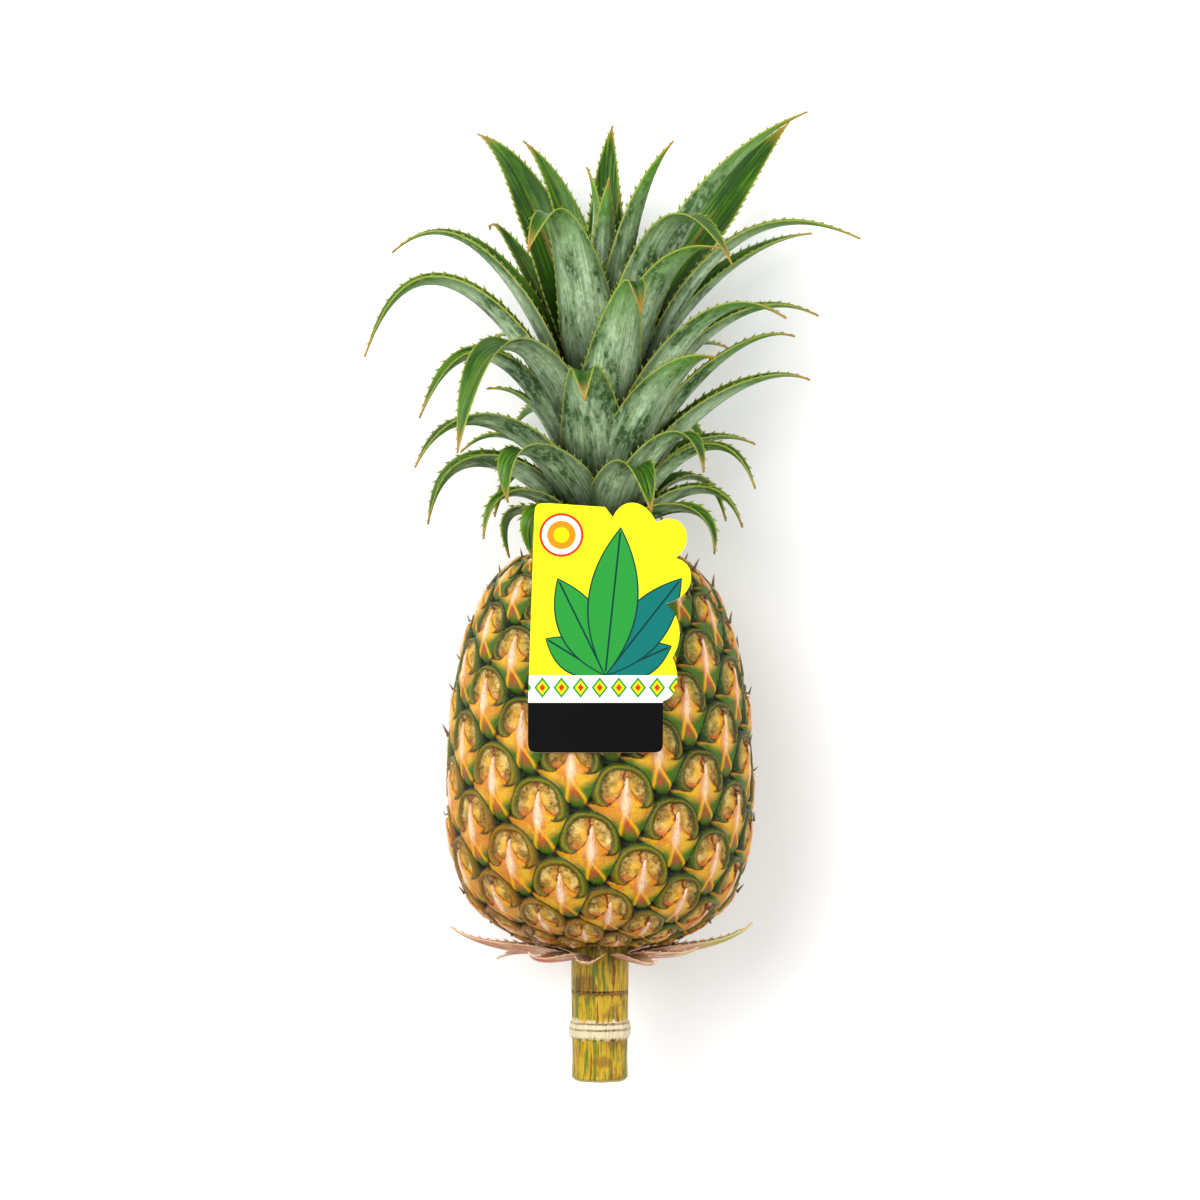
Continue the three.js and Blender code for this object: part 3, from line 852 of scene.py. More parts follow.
@dataclass(frozen=True)
class SkinFinish:
    """The colours of the fruit's skin."""

    disc: str = "#a27a22"
    disc_light: str = "#ead48e"
    disc_green: str = "#83903a"
    # speck: the dark of the disc's specks and streaks, also used as painted shade in the crease and between
    # disc and rim
    speck_and_shade: str = "#2e2410"
    gold: str = "#eaac04"
    orange: str = "#c65e06"
    rim_green: str = "#1f4206"
    rim_olive: str = "#4c5e06"
    rim_amber: str = "#8a5a04"
    # groove: a near-black painted shade, laid in the grooves between the eyes, on the rims' outer flanks
    # and over the low parts of the relief
    groove: str = "#0a1202"
    bract: str = "#e0aa00"
    bract_warm: str = "#d07c02"
    bract_grey: str = "#a49c54"
    bract_green: str = "#2c6404"
    keel: str = "#f3dcbc"
    pink: str = "#b04a30"
    dried: str = "#553114"
    grain_scale: float = 0.8
    patch_scale: float = 0.12
    # disc_line: where a dark line of painted shade marks the crease between disc and rim
    disc_line: float = 0.69
    disc_edge: tuple[float, float] = (0.68, 0.73)
    # rim_crest: where a painted highlight runs along the rim
    rim_crest: float = 0.8
    # rim_flank: where the rim's outer flank takes painted shade as it falls into the groove
    rim_flank: tuple[float, float] = (0.87, 0.99)

    def dome(self, paint: Paint, shape: EyeShape, grain: Wire, patch: Wire) -> tuple[Wire, Wire]:
        """The eye's rim and disc, with painted shade in their creases and on the rim's outer flank, and a
        painted highlight along the rim's crest.

        Args:
            paint: The material.
            shape: The eye's shape.
            grain: A fine noise.
            patch: A broad noise.

        Returns:
            Their colour and how far out in the dome each place is.
        """
        x, y, seed = paint.parts(paint.attribute("dome"))
        x = x + (grain - 0.5) * 1.2
        y = y + (patch - 0.5) * 2.4
        share = shape.round_share(x, y)
        length = (x * x + y * y + 0.3) ** 0.5
        spokes = paint.joined(x / length * 7.0 + seed * 31.0, y / length * 7.0, share * 1.6)
        streaks = paint.noise(spokes, 2.0, 4.0, 0.75)
        lobes = paint.noise(paint.joined(x * 0.2 + seed * 50.0, y * 0.2), 1.0, 3.0, 0.6)
        specks = rise(0.46, 0.57, streaks * 0.5 + grain * 0.5) * rise(0.2, 0.6, share)
        wander = paint.noise(paint.joined(seed * 17.0, y * 0.22), 1.0, 3.0, 0.6)
        crease = abs(x - (wander - 0.5) * 6.0)
        ripeness = self.ripeness(paint, seed)
        disc = paint.layers(
            self.disc,
            (rise(0.43, 0.63, streaks * 0.5 + lobes * 0.5) * 0.8, self.disc_light),
            (rise(0.3, 0.0, ripeness) * 0.5, self.disc_green),
            (rise(0.62, 0.1, share) * rise(0.35, 0.6, lobes) * 0.85, self.gold),
            (specks * rise(0.66, 0.42, lobes) * 0.9, self.speck_and_shade),
            (rise(0.44, 0.34, streaks) * rise(0.1, 0.5, share) * 0.55, self.speck_and_shade),
            # orange towards the disc's lower edge and along its crease: partly the disc's own orange,
            # partly painted shade
            (rise(-1.5, -6.0, y) * rise(0.36, 0.56, lobes) * 0.9, self.orange),
            (bell(crease, 1.2) * 0.7, self.orange),
            # painted shade: a dark line in the crease's lower part, and one in the crease between disc and
            # rim
            (bell(crease, 0.45) * rise(-7.5, -4.0, y) * 0.9, self.speck_and_shade),
            (bell(share - self.disc_line, 0.035) * 0.7, self.speck_and_shade),
        )
        rim = paint.layers(
            self.rim_green,
            (rise(0.2, 0.55, ripeness), self.rim_olive),
            (rise(0.5, 0.95, ripeness + (patch - 0.5) * 0.5), self.rim_amber),
            # gold flecks from the grain, and a painted highlight along the rim's crest
            (rise(0.5, 0.8, grain) * 0.2 + bell(share - self.rim_crest, 0.04) * 0.2, self.gold),
            # painted shade on the rim's outer flank
            (rise(*self.rim_flank, share) * 0.7, self.groove),
        )
        return paint.mix(rise(*self.disc_edge, share), disc, rim), share

    def ripeness(self, paint: Paint, seed: Wire) -> Wire:
        """How ripe the skin is, more so towards the stem and to -X, from about 0 to 1."""
        x, y, _ = paint.parts(paint.place())
        return rise(75.0, -85.0, y) * 0.8 - x * 0.0048 + (seed - 0.5) * 0.24

    def bract_colour(self, paint: Paint, shape: EyeShape, grain: Wire, patch: Wire) -> Wire:
        """The bract below the eye.

        Args:
            paint: The material.
            shape: The eye's shape.
            grain: A fine noise.
            patch: A broad noise.

        Returns:
            The bract's colour.
        """
        x, y, seed = paint.parts(paint.attribute("bract"))
        ripeness = self.ripeness(paint, seed)
        ragged = (grain - 0.5) * (rise(-4.0, 2.0, y) * 2.2 + 0.7)
        level = y - x * shape.lean + ragged
        below = shape.bract_top(x) - level
        fibres = paint.noise(paint.joined(x * 1.3 + seed * 40.0, y * 0.26), 1.0, 5.0, 0.72)
        fine = paint.noise(paint.joined(x * 0.9, y * 0.9, seed * 9.0), 1.6, 5.0, 0.8)
        warm = patch + (fibres - 0.5) * 0.5 + ripeness * 0.2 - 0.1
        depth = rise(1.0, 3.0, below)
        grey = rise(0.44, 0.58, fine) * bell(abs(x) - 6.0, 4.0) * rise(0.8, 3.0, below)
        strands = rise(0.58, 0.66, fibres) * bell(x, 6.0) * rise(0.5, 2.0, below)
        wings = rise(6.5, 14.0, abs(x)) * (1.15 - ripeness * 0.8)
        feet = rise(-8.0, -13.0, level + ripeness * 7.0 - abs(x - 2.0) * 0.35 + (fine - 0.5) * 5.0)
        upper_edge = bell(below - 0.4, 0.6) * rise(1.2, 3.0, abs(x))
        spread = rise(*shape.ridge_start, level) * shape.ridge_shift
        middle = rise(3.6, 0.8, abs(x - spread)) * rise(-20.0, -15.0, level)
        wide = bell(level + 6.0, 3.5) * 0.8 + 0.9
        off = x - shape.spire_place * 0.6 + (fibres - 0.5) * 4.0
        keel = bell(off / wide, 1.15) * rise(-14.0, -7.5, level)
        keel = keel * (rise(0.38, 0.52, fibres) * 0.5 + 0.45)
        dried = paint.mix(rise(0.5, 0.7, fine) * 0.7, self.dried, self.keel)
        return paint.layers(
            self.bract,
            (rise(0.4, 0.6, warm), self.bract_warm),
            (grey * 0.6, self.bract_grey),
            (rise(0.59, 0.67, fine) * depth * 0.7, self.speck_and_shade),
            (strands * 0.55, self.keel),
            ((wings + feet).least(0.95), self.bract_green),
            (upper_edge * 0.75, self.bract_warm),
            (middle * rise(0.36, 0.56, fibres), self.pink),
            (shape.ridges(x, level) * 0.85, self.gold),
            (keel, self.keel),
            (keel * rise(0.5, 0.62, fibres) * 0.7, self.pink),
            (rise(TIP_MARK - 5.0, TIP_MARK, y), dried),
        )

    def material(self, shape: EyeShape) -> bpy.types.Material:
        """The whole skin's material.

        Args:
            shape: The relief of one eye.

        Returns:
            The material.
        """
        paint = Paint("fruit_skin")
        place = paint.place()
        grain = paint.noise(place, self.grain_scale, 5.0, 0.65)
        patch = paint.noise(place, self.patch_scale, 3.0, 0.55)
        dome, share = self.dome(paint, shape, grain, patch)
        lead, level, _ = paint.parts(paint.attribute("lead"))
        ragged = lead + (grain - 0.5) * 0.5
        covers = rise(-0.08, 0.12, ragged)
        colour = paint.mix(covers, dome, self.bract_colour(paint, shape, grain, patch))
        # painted shade: darker along the seam where a bract meets a dome, and in the low parts of the
        # relief
        shade = (bell(ragged, 0.4) * rise(2.4, 0.6, level) + rise(-0.5, -1.8, level)).least(1.0)
        colour = paint.mix(shade * 0.93, colour, self.groove)
        rough = covers * 0.26 + rise(0.73, 0.66, share) * 0.16 + 0.19
        paint.bump(grain, 0.6)
        return paint.done(colour, rough, Specular_IOR_Level=0.36)


@dataclass
class Fruit:
    """The fruit: its skin of eyes on two spirals, and the dried tips of their bracts.

    The mesh takes as many steps from eye to eye as divisions says. A dried tip stands at each
    spire's end, tip_height above its eye's centre, but not within the card's reach or near the
    floor, and towards the fruit's upper side the tips shrink to nothing.
    """

    shape: EyeShape
    divisions: int = 24
    tip_height: float = 4.6
    tip_fade: tuple[float, float] = (118.0, 106.0)
    floor_clearance: float = 12.0
    card_half_width: float = 36.0
    card_foot: float = -2.0
    card_depth: float = 45.0
    tip_out: float = 0.5
    tip_up: float = 0.85
    tip_sway: float = 0.3
    shortest_tip: float = 0.35
    longest_tip: float = 1.3

    def __post_init__(self) -> None:
        """Lays out the eyes along the fruit's profile."""
        profile = centripetal(np.array([(r, h) for h, r in FRUIT_PROFILE], float), PROFILE_STEPS)
        lengths = np.linalg.norm(np.diff(profile, axis=0), axis=1)
        radii = (profile[1:, 0] + profile[:-1, 0]) / 2
        counts = np.concatenate([[0.0], np.cumsum(lengths / (EYE_SPACING * radii))])
        first = counts[np.argmax(profile[:, 1] >= FIRST_EYE_HEIGHT)]
        self.counts = counts - first
        self.profile = profile
        slope = np.gradient(profile, axis=0)
        self.normals = unit(np.stack([slope[:, 1], -slope[:, 0]], axis=1))

    def sample(self, a: np.ndarray, b: np.ndarray) -> tuple[np.ndarray, np.ndarray, np.ndarray]:
        """Where lattice places lie on the smooth skin.

        Args:
            a: Steps along the spiral of 8.
            b: Steps along the spiral of 13.

        Returns:
            The places, the directions straight out, and the radii.
        """
        count = SPIRAL_A * a + SPIRAL_B * b
        step_a = 360 * TURNS_A - DIVERGENCE * SPIRAL_A
        step_b = 360 * TURNS_B - DIVERGENCE * SPIRAL_B
        azimuth = FIRST_EYE_AZIMUTH + step_a * a + step_b * b
        along = 2 * (count - self.counts[0]) / (self.counts[-1] - self.counts[0]) - 1
        tilt = EYE_TILT * np.sin(np.radians(azimuth)) * (1 - along**2) / EYE_SPACING
        read = [np.interp(count - tilt, self.counts, column) for column in self.columns()]
        radius, height, normal_out, normal_up = read
        places = around(radius, height, azimuth)
        outward = around(normal_out, normal_up, azimuth) - around(0.0, 0.0, 0.0)
        return places, unit(outward), radius

    def columns(self) -> list[np.ndarray]:
        """The radius, height and normal along the profile."""
        return [*self.profile.T, *self.normals.T]

    def local(self, a: np.ndarray, b: np.ndarray) -> tuple[np.ndarray, np.ndarray]:
        """Turns steps from an eye into millimetres.

        Args:
            a: Steps along the spiral of 8.
            b: Steps along the spiral of 13.

        Returns:
            Millimetres across and up.
        """
        x = a * EYE_STEP_A[0] + b * EYE_STEP_B[0]
        y = a * EYE_STEP_A[1] + b * EYE_STEP_B[1]
        return x, y

    def relief(self, a: np.ndarray, b: np.ndarray) -> tuple[np.ndarray, np.ndarray]:
        """The relief of the whole skin.

        Args:
            a: Steps along the spiral of 8.
            b: Steps along the spiral of 13.

        Returns:
            How far the skin stands out, and how far the bract is above the dome.
        """
        domes, bracts = np.zeros_like(a), np.full_like(a, -1.0)
        for p, q in NEAR_EYES:
            x, y = self.local(a - np.round(a) - p, b - np.round(b) - q)
            dome, bract, _ = self.shape.height(x, y)
            domes, bracts = np.maximum(domes, dome), np.maximum(bracts, bract)
        return np.maximum(domes, bracts) - self.shape.groove, bracts - domes

    def owners(self, a: np.ndarray, b: np.ndarray) -> tuple[np.ndarray, np.ndarray]:
        """The eye whose dome, and the eye whose bract, each place belongs to.

        Args:
            a: Steps along the spiral of 8.
            b: Steps along the spiral of 13.

        Returns:
            For the dome and for the bract, the eye's own two step counts.
        """
        base = np.stack([np.round(a), np.round(b)], axis=-1)
        near, deep = np.full(a.shape, np.inf), np.full(a.shape, -np.inf)
        dome_eye, bract_eye = base.copy(), base.copy()
        for p, q in NEAR_EYES:
            eye = base + (p, q)
            x, y = self.local(a - eye[..., 0], b - eye[..., 1])
            share = self.shape.round_share(x, y)
            inside = self.shape.height(x, y)[2]
            dome_eye = np.where((share < near)[..., None], eye, dome_eye)
            bract_eye = np.where((inside > deep)[..., None], eye, bract_eye)
            near, deep = np.minimum(near, share), np.maximum(deep, inside)
        return dome_eye, bract_eye

    def tips(self, i: np.ndarray, j: np.ndarray, places: np.ndarray, outward: np.ndarray) -> np.ndarray:
        """Where a dried tip stands, at the end of each bract's keel, and which way it points.

        Args:
            i: Each vertex's steps along the spiral of 8, in divisions.
            j: The same along the spiral of 13.
            places: The vertices.
            outward: The directions straight out there.

        Returns:
            The sizes and the headings, stacked.
        """
        steps = np.array([EYE_STEP_A, EYE_STEP_B]).T
        place = (self.shape.spire_place, self.tip_height)
        shift = np.round(np.linalg.solve(steps, place) * self.divisions)
        chosen = ((i - shift[0]) % self.divisions == 0) & ((j - shift[1]) % self.divisions == 0)
        x, y, z = places.T
        under_card = (np.abs(x) < self.card_half_width) & (y > self.card_foot)
        under_card &= z > 2 * AXIS_HEIGHT - self.card_depth
        size = (chosen & ~under_card & (z > self.floor_clearance)) * rise(*self.tip_fade, z)
        wave = np.sin(places @ np.array([0.9, 1.7, 1.3]))[:, None]
        sideways = wave * (self.tip_sway, 0.0, 0.0) + (0.0, self.tip_up, 0.0)
        heading = unit(outward * (self.tip_out + 0.2 * wave) + sideways)
        return np.stack([np.stack([size, size, size], axis=1), heading])

    def build(self, finish: SkinFinish, tip: bpy.types.Object) -> bpy.types.Object:
        """Builds the skin.

        Args:
            finish: The skin's colours.
            tip: The mesh of one dried tip.

        Returns:
            The finished object.
        """
        n = self.divisions
        low, high = math.ceil(self.counts[0] * n), math.floor(self.counts[-1] * n)
        m, t = (grid.ravel() for grid in np.meshgrid(np.arange(low, high + 1), np.arange(n), indexing="ij"))
        i, j = 5 * m + SPIRAL_B * t, -3 * m - SPIRAL_A * t
        places, outward, radius = self.sample(i / n, j / n)
        relief, lead = self.relief(i / n, j / n)
        points = places + outward * (relief * radius / EYE_NOMINAL_RADIUS)[:, None]
        points[:, 2] = np.maximum(points[:, 2], 0.0)
        owned = np.stack([lead, relief, lead * 0.0], axis=1)
        sizes, headings = self.tips(i, j, points, outward)
        kept = m + SPIRAL_A + SPIRAL_B <= high
        m, t, i, j = m[kept], t[kept], i[kept], j[kept]
        steps = ((0, 0, 0, 0), (13, -5, 0, 1), (21, -8, 1, 1), (8, -3, 1, 0))
        faces = np.stack([(m + dm - low) * n + (t + dt) % n for dm, dt, _, _ in steps], axis=1)
        points, listed, used = self.close(points, faces)
        made = make_object("fruit_skin", points, listed)
        for name, values in (("lead", owned), ("spine", sizes), ("heading", headings)):
            rows = np.zeros((len(points), 3))
            rows[: len(used)] = values[used]
            store(made, name, "POINT", rows)
        self.mark(made, i / n, j / n, steps, len(faces))
        Spikes(tip, finish.material(self.shape), self.shortest_tip, self.longest_tip).tree(1).apply(made)
        place_piece(made, ["fruit"])
        return made

    def close(
        self, points: np.ndarray, faces: np.ndarray
    ) -> tuple[np.ndarray, list[list[int]], list[int]]:
        """Closes the two open ends of the net with fans.

        Args:
            points: The net's places.
            faces: The net's faces.

        Returns:
            The places that are used and the fans' middles, all faces, and the used places' numbers.
        """
        listed = faces.tolist()
        edges = {(f[k], f[(k + 1) % 4]) for f in listed for k in range(4)}
        following = {b: a for a, b in edges if (b, a) not in edges}
        extra = []
        while following:
            rim = [next(iter(following))]
            while (after := following.pop(rim[-1], None)) is not None and after != rim[0]:
                rim.append(after)
            middle = points[rim].mean(axis=0)
            extra.append([0.0, middle[1], AXIS_HEIGHT])
            centre = len(points) + len(extra) - 1
            listed += [[rim[k], rim[(k + 1) % len(rim)], centre] for k in range(len(rim))]
        used = sorted({v for face in listed for v in face if v < len(points)})
        number = {v: k for k, v in enumerate(used)}
        number.update({len(points) + k: len(used) + k for k in range(len(extra))})
        return np.vstack([points[used], extra]), [[number[v] for v in face] for face in listed], used

    def mark(
        self,
        made: bpy.types.Object,
        a: np.ndarray,
        b: np.ndarray,
        steps: Sequence[tuple[int, int, int, int]],
        quads: int,
    ) -> None:
        """Keeps, at each corner, its place in its own eye and in its own bract.

        Args:
            made: The skin.
            a: Each face's first corner, along the spiral of 8.
            b: The same along the spiral of 13.
            steps: How the other corners follow from the first.
            quads: How many faces the net has, before the fans.
        """
        half = 0.5 / self.divisions
        dome_eye, bract_eye = self.owners(a + half, b + half)
        for name, eye in (("dome", dome_eye), ("bract", bract_eye)):
            rank = SPIRAL_A * eye[:, 0] + SPIRAL_B * eye[:, 1]
            seed = np.mod(np.sin(rank * SCATTER_TURN) * SCATTER_SIZE, 1.0)
            rows = np.zeros((len(made.data.loops), 3))
            corners = [
                (*self.local(a + da * 2 * half - eye[:, 0], b + db * 2 * half - eye[:, 1]), seed)
                for _, _, da, db in steps
            ]
            rows[: quads * 4] = np.array(corners).transpose(2, 0, 1).reshape(-1, 3)
            rows[quads * 4 :] = (0.0, -20.0, 0.5)
            store(made, name, "CORNER", rows)


# The crown

CORE_PROFILE = ((0, 74.5), (11, 74.5), (10.4, 90), (8.6, 115), (6, 142), (3.4, 166), (0, 172))
LEAF_ROOT_GAP = 1.4
LEAF_HEADING = (0.3, 1.0)
LINE_STEPS = 800
SPINE_ALONG, SPINE_OUT = 0.85, 0.6
FIRST_SPINE, LAST_SPINE = 0.1, 0.985
LEAVES = (
    (14, 166, (7, 200), (11, 224), 1, 16.5, -4),
    (-71, 164, (3, 205), (6, 229), 1, 16, 21),
    (123, 158, (10, 198), (10, 220), 1, 15.5, 16),
    (165, 154, (14, 206), (31, 249), 3, 24, 8),
    (45, 148, (20, 207), (39, 237), 2, 21, 3),
    (-165, 146, (21, 209), (39, 243), 22, 22, 0),
    (122, 142, (42, 197), (91, 252), -1, 33, 54),
    (-137, 138, (33, 203), (74, 248), 0, 31.5, -34),
    (-21, 134, (37, 205), (50, 192), -11, 33, 2),
    (69, 130, (45, 213), (87, 248), 1, 29.5, -14),
    (-125, 134, (46, 202), (57, 207), -3, 18, -26),
    (150, 128, (32, 184), (56, 211), 0, 23, 0),
    (-99, 122, (54, 199), (85, 196), -1, 22, -43),
    (44, 122, (43, 203), (75, 186), -1, 30, 0),
    (115, 122, (53, 185), (96, 206), 1, 23, 38),
    (37, 118, (43, 183), (77, 192), 0, 28, -6),
    (-160, 118, (30, 178), (54, 200), 0, 24, 0),
    (87, 114, (58, 200), (104, 200), 0, 22.5, 26),
    (12, 109, (50, 177), (53, 167), 5, 33, 0),
    (-86, 111, (65, 182), (94, 153), -1, 24.5, -39),
    (164, 108, (34, 162), (57, 180), 0, 25, 0),
    (103, 108, (58, 170), (91, 171), 1, 22, 39),
    (-46, 106, (38, 149), (77, 113), 0, 30, -4),
    (-142, 103, (42, 156), (70, 165), 0, 24, 0),
    (60, 101, (53, 167), (84, 166), 0, 29, -6),
    (-75, 100, (45, 151), (74, 128), 0, 23.5, -45),
    (134, 97, (42, 154), (72, 160), 0, 22, 0),
    (85, 96, (54, 155), (78, 161), 0, 21, 24),
    (-9, 96, (45, 144), (56, 133), 3, 34, 4),
    (-104, 96, (30, 135), (47, 141), 0, 18, -15),
    (176, 94, (36, 136), (60, 139), 0, 24, 0),
    (38, 92, (47, 143), (73, 150), 0, 31, -12),
    (90, 88, (58, 141), (84, 144), 0, 24, 38),
    (-148, 90, (38, 130), (66, 128), 0, 22, 0),
    (-63, 88, (45, 123), (80, 108), -3, 27, 10),
    (142, 88, (42, 128), (72, 118), 0, 20, 0),
    (-116, 86, (38, 120), (63, 116), 0, 16, -15),
    (108, 84, (43, 119), (66, 119), 0, 18, 37),
    (-39, 84, (50, 113), (56, 94), -1, 30, 4),
    (18, 83, (36, 107), (52, 90), 4, 25, 0),
    (49, 83, (42, 120), (54, 106), 0, 25, 0),
    (74, 81, (47, 116), (64, 100), 0, 18, 22),
    (-83, 82, (38, 107), (69, 86), -1, 24, -44),
    (-170, 82, (34, 110), (58, 99), 0, 20, 0),
    (152, 80, (32, 102), (54, 88), 0, 16, 0),
    (-132, 80, (36, 106), (58, 90), 0, 17, 0),
    (118, 79, (36, 104), (58, 88), 0, 16, 10),
    (-58, 79, (35, 97), (53, 80), -2, 14.5, -27),
    (90, 78, (35, 98), (57, 85), 1, 16.5, 35),
    (58, 77, (39, 91), (52, 74), 2, 17.5, 14),
    (-34, 77, (40, 90), (38, 72), -6, 18, -4),
    (-109, 77, (32, 91), (39, 73), -1, 17.5, 2),
)


@dataclass(frozen=True)
class BladeLine:
    """The line that a blade follows: from its root, past its bend, to its tip.

    The root is a distance out, a height and the heading's share of each. The bend and the tip are a
    distance out and a height, and the sway is how far the tip stands to one side.
    """

    azimuth: float
    root: tuple[float, float, float, float]
    bend: tuple[float, float]
    tip: tuple[float, float]
    sway: float = 0.0
    sway_at_bend: float = 0.36
    lead_out: float = 0.42
    earliest_bend: float = 0.42
    latest_bend: float = 0.68

    def side(self) -> np.ndarray:
        """The direction across the blade at its root."""
        return around(1.0, 0.0, self.azimuth + 90) - around(0.0, 0.0, 0.0)

    def knots(self) -> np.ndarray:
        """The control points of the line's cubic curve.

        Returns:
            One row for each of the four.
        """
        side = self.side()
        start = around(self.root[0], self.root[1], self.azimuth)
        middle = around(*self.bend, self.azimuth) + side * self.sway * self.sway_at_bend
        end = around(*self.tip, self.azimuth) + side * self.sway
        before = np.linalg.norm(start - middle)
        after = np.linalg.norm(middle - end)
        t = float(np.clip(before / (before + after), self.earliest_bend, self.latest_bend))
        heading = unit(around(self.root[2], self.root[3], self.azimuth) - around(0.0, 0.0, 0.0))
        first = start + heading * before * self.lead_out
        rest = middle - (1 - t) ** 3 * start - 3 * (1 - t) ** 2 * t * first - t**3 * end
        return np.array([start, first, rest / (3 * (1 - t) * t * t), end])

    def walk(self, step: float) -> tuple[np.ndarray, np.ndarray, np.ndarray, float]:
        """Walks along the line in equal steps.

        Args:
            step: The longest step, in millimetres.

        Returns:
            The places, the directions along, the shares of the length, and the length.
        """
        start, first, second, end = self.knots()
        t = np.linspace(0, 1, LINE_STEPS + 1)[:, None]
        fine = cubic(start, first, second, end, t)
        done = np.concatenate([[0.0], np.cumsum(np.linalg.norm(np.diff(fine, axis=0), axis=1))])
        count = 2 * max(4, math.ceil(done[-1] / step / 2))
        share = np.linspace(0, 1, count + 1)
        places = np.stack([np.interp(share * done[-1], done, column) for column in fine.T], axis=1)
        return places, unit(np.gradient(places, axis=0)), share, float(done[-1])


@dataclass(frozen=True)
class BladeShape:
    """The section of a blade and how it changes along its length."""

    thickness: float = 0.9
    edge_thickness: float = 0.34
    fold_root: float = 23.0
    fold_tip: float = 16.0
    fold_swell: float = 10.0
    taper: float = 1.8
    root_width: float = 0.62
    edge_gain: float = 0.35
    tip_half_width: float = 0.3
    step: float = 1.9
    roll_ramp: float = 1.6
    valley: float = 0.03
    floor_touch: float = 0.55
    floor_softness: float = 2.5
    columns: tuple[float, ...] = (-1.0, -0.84, -0.6, -0.32, 0.0, 0.32, 0.6, 0.84, 1.0)

    def half_width(self, share: np.ndarray, width: float) -> np.ndarray:
        """Half the blade's width along its length.

        Args:
            share: Shares of the blade's length.
            width: Its greatest width.

        Returns:
            Half its width at each.
        """
        swelling = self.root_width + (1 - self.root_width) * np.minimum(1, share / 0.3)
        half = 0.5 * width * swelling * (1 - share**self.taper) + self.edge_gain * (1 - share)
        return np.maximum(half, self.tip_half_width)

    def rest_on_floor(self, points: np.ndarray) -> np.ndarray:
        """Bends what would go below the surface along it.

        Args:
            points: The blade's places.

        Returns:
            The same places, none below the surface.
        """
        over = (points[..., 2] - self.floor_touch) / self.floor_softness
        soft = self.floor_touch + self.floor_softness * np.log1p(np.exp(np.minimum(over, 12)))
        points[..., 2] = np.where(over < 12, soft, points[..., 2])
        return points


